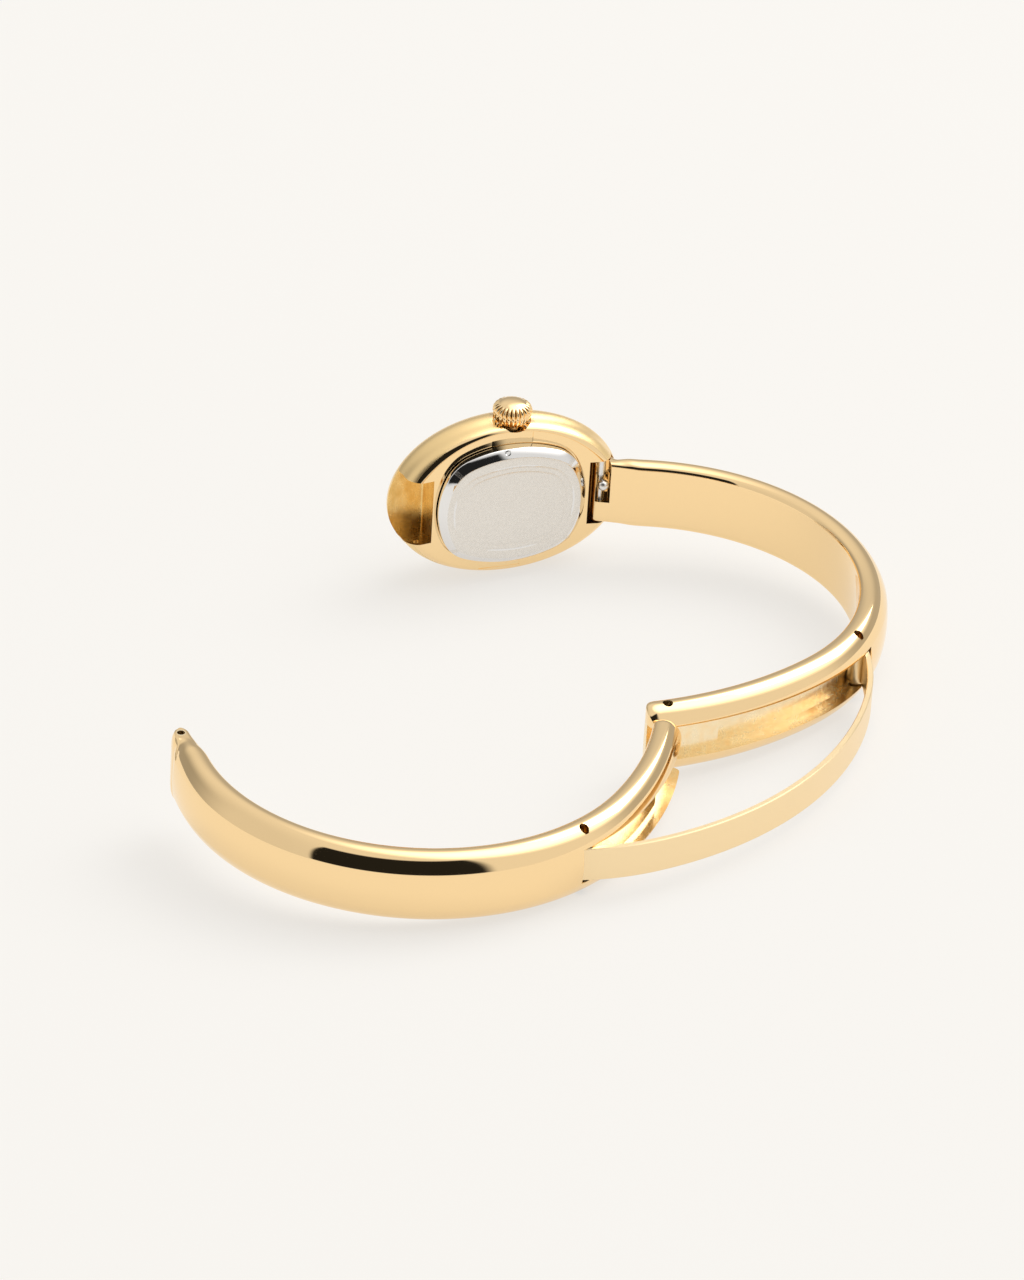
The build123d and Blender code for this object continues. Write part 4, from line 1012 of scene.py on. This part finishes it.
# %% Floor
FLOOR_HALF, FLOOR_GLOW = 6.0, 0.74
floor_mesh = bpy.data.meshes.new("floor")
corners = [(-FLOOR_HALF, -FLOOR_HALF, 0), (FLOOR_HALF, -FLOOR_HALF, 0),
           (FLOOR_HALF, FLOOR_HALF, 0), (-FLOOR_HALF, FLOOR_HALF, 0)]
floor_mesh.from_pydata(corners, [], [(0, 1, 2, 3)])
floor = bpy.data.objects.new("floor", floor_mesh)
bpy.context.scene.collection.objects.link(floor)
paper = finish("paper", (0.9, 0.88, 0.85), OTHER, 0.9, spread=0.02, grain=(50, 50, 50))
paper.node_tree.nodes["Principled BSDF"].inputs["Specular IOR Level"].default_value = 0.1
paper_tree = paper.node_tree
glow = paper_tree.nodes.new("ShaderNodeEmission")
glow.inputs["Color"].default_value = (0.905, 0.885, 0.85, 1)
path = paper_tree.nodes.new("ShaderNodeLightPath")
seen, seen_or_clear, amount = (paper_tree.nodes.new("ShaderNodeMath") for _ in range(3))
seen.operation = seen_or_clear.operation = "MAXIMUM"
amount.operation = "MULTIPLY"
amount.inputs[1].default_value = FLOOR_GLOW
mix = paper_tree.nodes.new("ShaderNodeMixShader")
for output, socket in (
        (path.outputs["Is Camera Ray"], seen.inputs[0]), (path.outputs["Is Glossy Ray"], seen.inputs[1]),
        (seen.outputs["Value"], seen_or_clear.inputs[0]),
        (path.outputs["Is Transmission Ray"], seen_or_clear.inputs[1]),
        (seen_or_clear.outputs["Value"], amount.inputs[0]), (amount.outputs["Value"], mix.inputs["Fac"]),
        (paper_tree.nodes["Principled BSDF"].outputs["BSDF"], mix.inputs[1]),
        (glow.outputs["Emission"], mix.inputs[2]),
        (mix.outputs["Shader"], paper_tree.nodes["Material Output"].inputs["Surface"])):
    paper_tree.links.new(output, socket)
floor_mesh.materials.append(paper)
print("floor", 2 * FLOOR_HALF, "m wide")

# %% Room
world = bpy.data.worlds.new("studio")
bpy.context.scene.world = world
world.use_nodes = True
tree = world.node_tree
background = tree.nodes["Background"]
where = tree.nodes.new("ShaderNodeTexCoord")
split = tree.nodes.new("ShaderNodeSeparateXYZ")
tree.links.new(where.outputs["Generated"], split.inputs["Vector"])
to_right, to_back, upwards = (split.outputs[axis] for axis in "XYZ")


def step(value, start, stop):
    """0 before start, 1 after stop, with a smooth ramp between."""
    node = tree.nodes.new("ShaderNodeMapRange")
    node.interpolation_type = "SMOOTHSTEP"
    node.inputs["From Min"].default_value = start
    node.inputs["From Max"].default_value = stop
    tree.links.new(value, node.inputs["Value"])
    return node.outputs["Result"]


def combine(operation, first, second):
    """One arithmetic step of the room's brightness."""
    node = tree.nodes.new("ShaderNodeMath")
    node.operation = operation
    for socket, value in zip(node.inputs, (first, second)):
        if isinstance(value, float):
            socket.default_value = value
        else:
            tree.links.new(value, socket)
    return node.outputs["Value"]


def product(first, second):
    """Product of two brightnesses."""
    return combine("MULTIPLY", first, second)


def rest_of(value):
    """One less a brightness."""
    return combine("SUBTRACT", 1.0, value)


# %% Brightness of the room by direction
WALL_LEVEL, LEFT_DIM, BACK_DIM, GLOW_LEVEL, PANEL_DARK = 0.84, 0.1, 0.36, 1.5, 0.98
PANEL_LEFT, PANEL_RIGHT = (-0.77, -0.72), (0.56, 0.68)
PANEL_LOW, PANEL_HIGH = (0.02, 0.06), (0.76, 0.82)
LEFT_FROM, BACK_FROM, BACK_UNDER = (0.2, 0.8), (-0.1, 0.5), (0.3, 0.75)
GLOW_EDGE, GLOW_AT = (0.72, 0.98), (0.5, 0.2, 0.84)
azimuth = combine("ARCTAN2", to_right, product(to_back, -1.0))
panel = product(step(azimuth, *PANEL_LEFT), rest_of(step(azimuth, *PANEL_RIGHT)))
panel = product(panel, step(upwards, *PANEL_LOW))
panel = product(panel, rest_of(step(upwards, *PANEL_HIGH)))
back_low = product(rest_of(step(upwards, *BACK_UNDER)), step(to_back, *BACK_FROM))
left = product(step(product(to_right, -1.0), *LEFT_FROM), LEFT_DIM)
level = combine("SUBTRACT", combine("SUBTRACT", WALL_LEVEL, left), product(back_low, BACK_DIM))
toward = combine("ADD", product(to_right, GLOW_AT[0]), product(to_back, GLOW_AT[1]))
toward = combine("ADD", toward, product(upwards, GLOW_AT[2]))
level = combine("ADD", level, product(step(toward, *GLOW_EDGE), GLOW_LEVEL))
level = product(level, rest_of(product(panel, PANEL_DARK)))
tree.links.new(level, background.inputs["Strength"])
background.inputs["Color"].default_value = (1.0, 0.985, 0.96, 1)
print("room nodes", len(tree.nodes))

# %% Softbox
lamp_data = bpy.data.lights.new("key", "AREA")
lamp_data.shape = "RECTANGLE"
lamp_data.size, lamp_data.size_y = 0.6, 0.5
lamp_data.energy = 2.2
lamp = bpy.data.objects.new("key", lamp_data)
bpy.context.scene.collection.objects.link(lamp)
lamp.location = (0.5, 0.4, 0.62)
lamp.rotation_euler = (-lamp.location).to_track_quat("-Z", "Y").to_euler()
bpy.context.scene.view_settings.view_transform = "Standard"
print("lamp", lamp_data.energy, "W at", tuple(lamp.location))
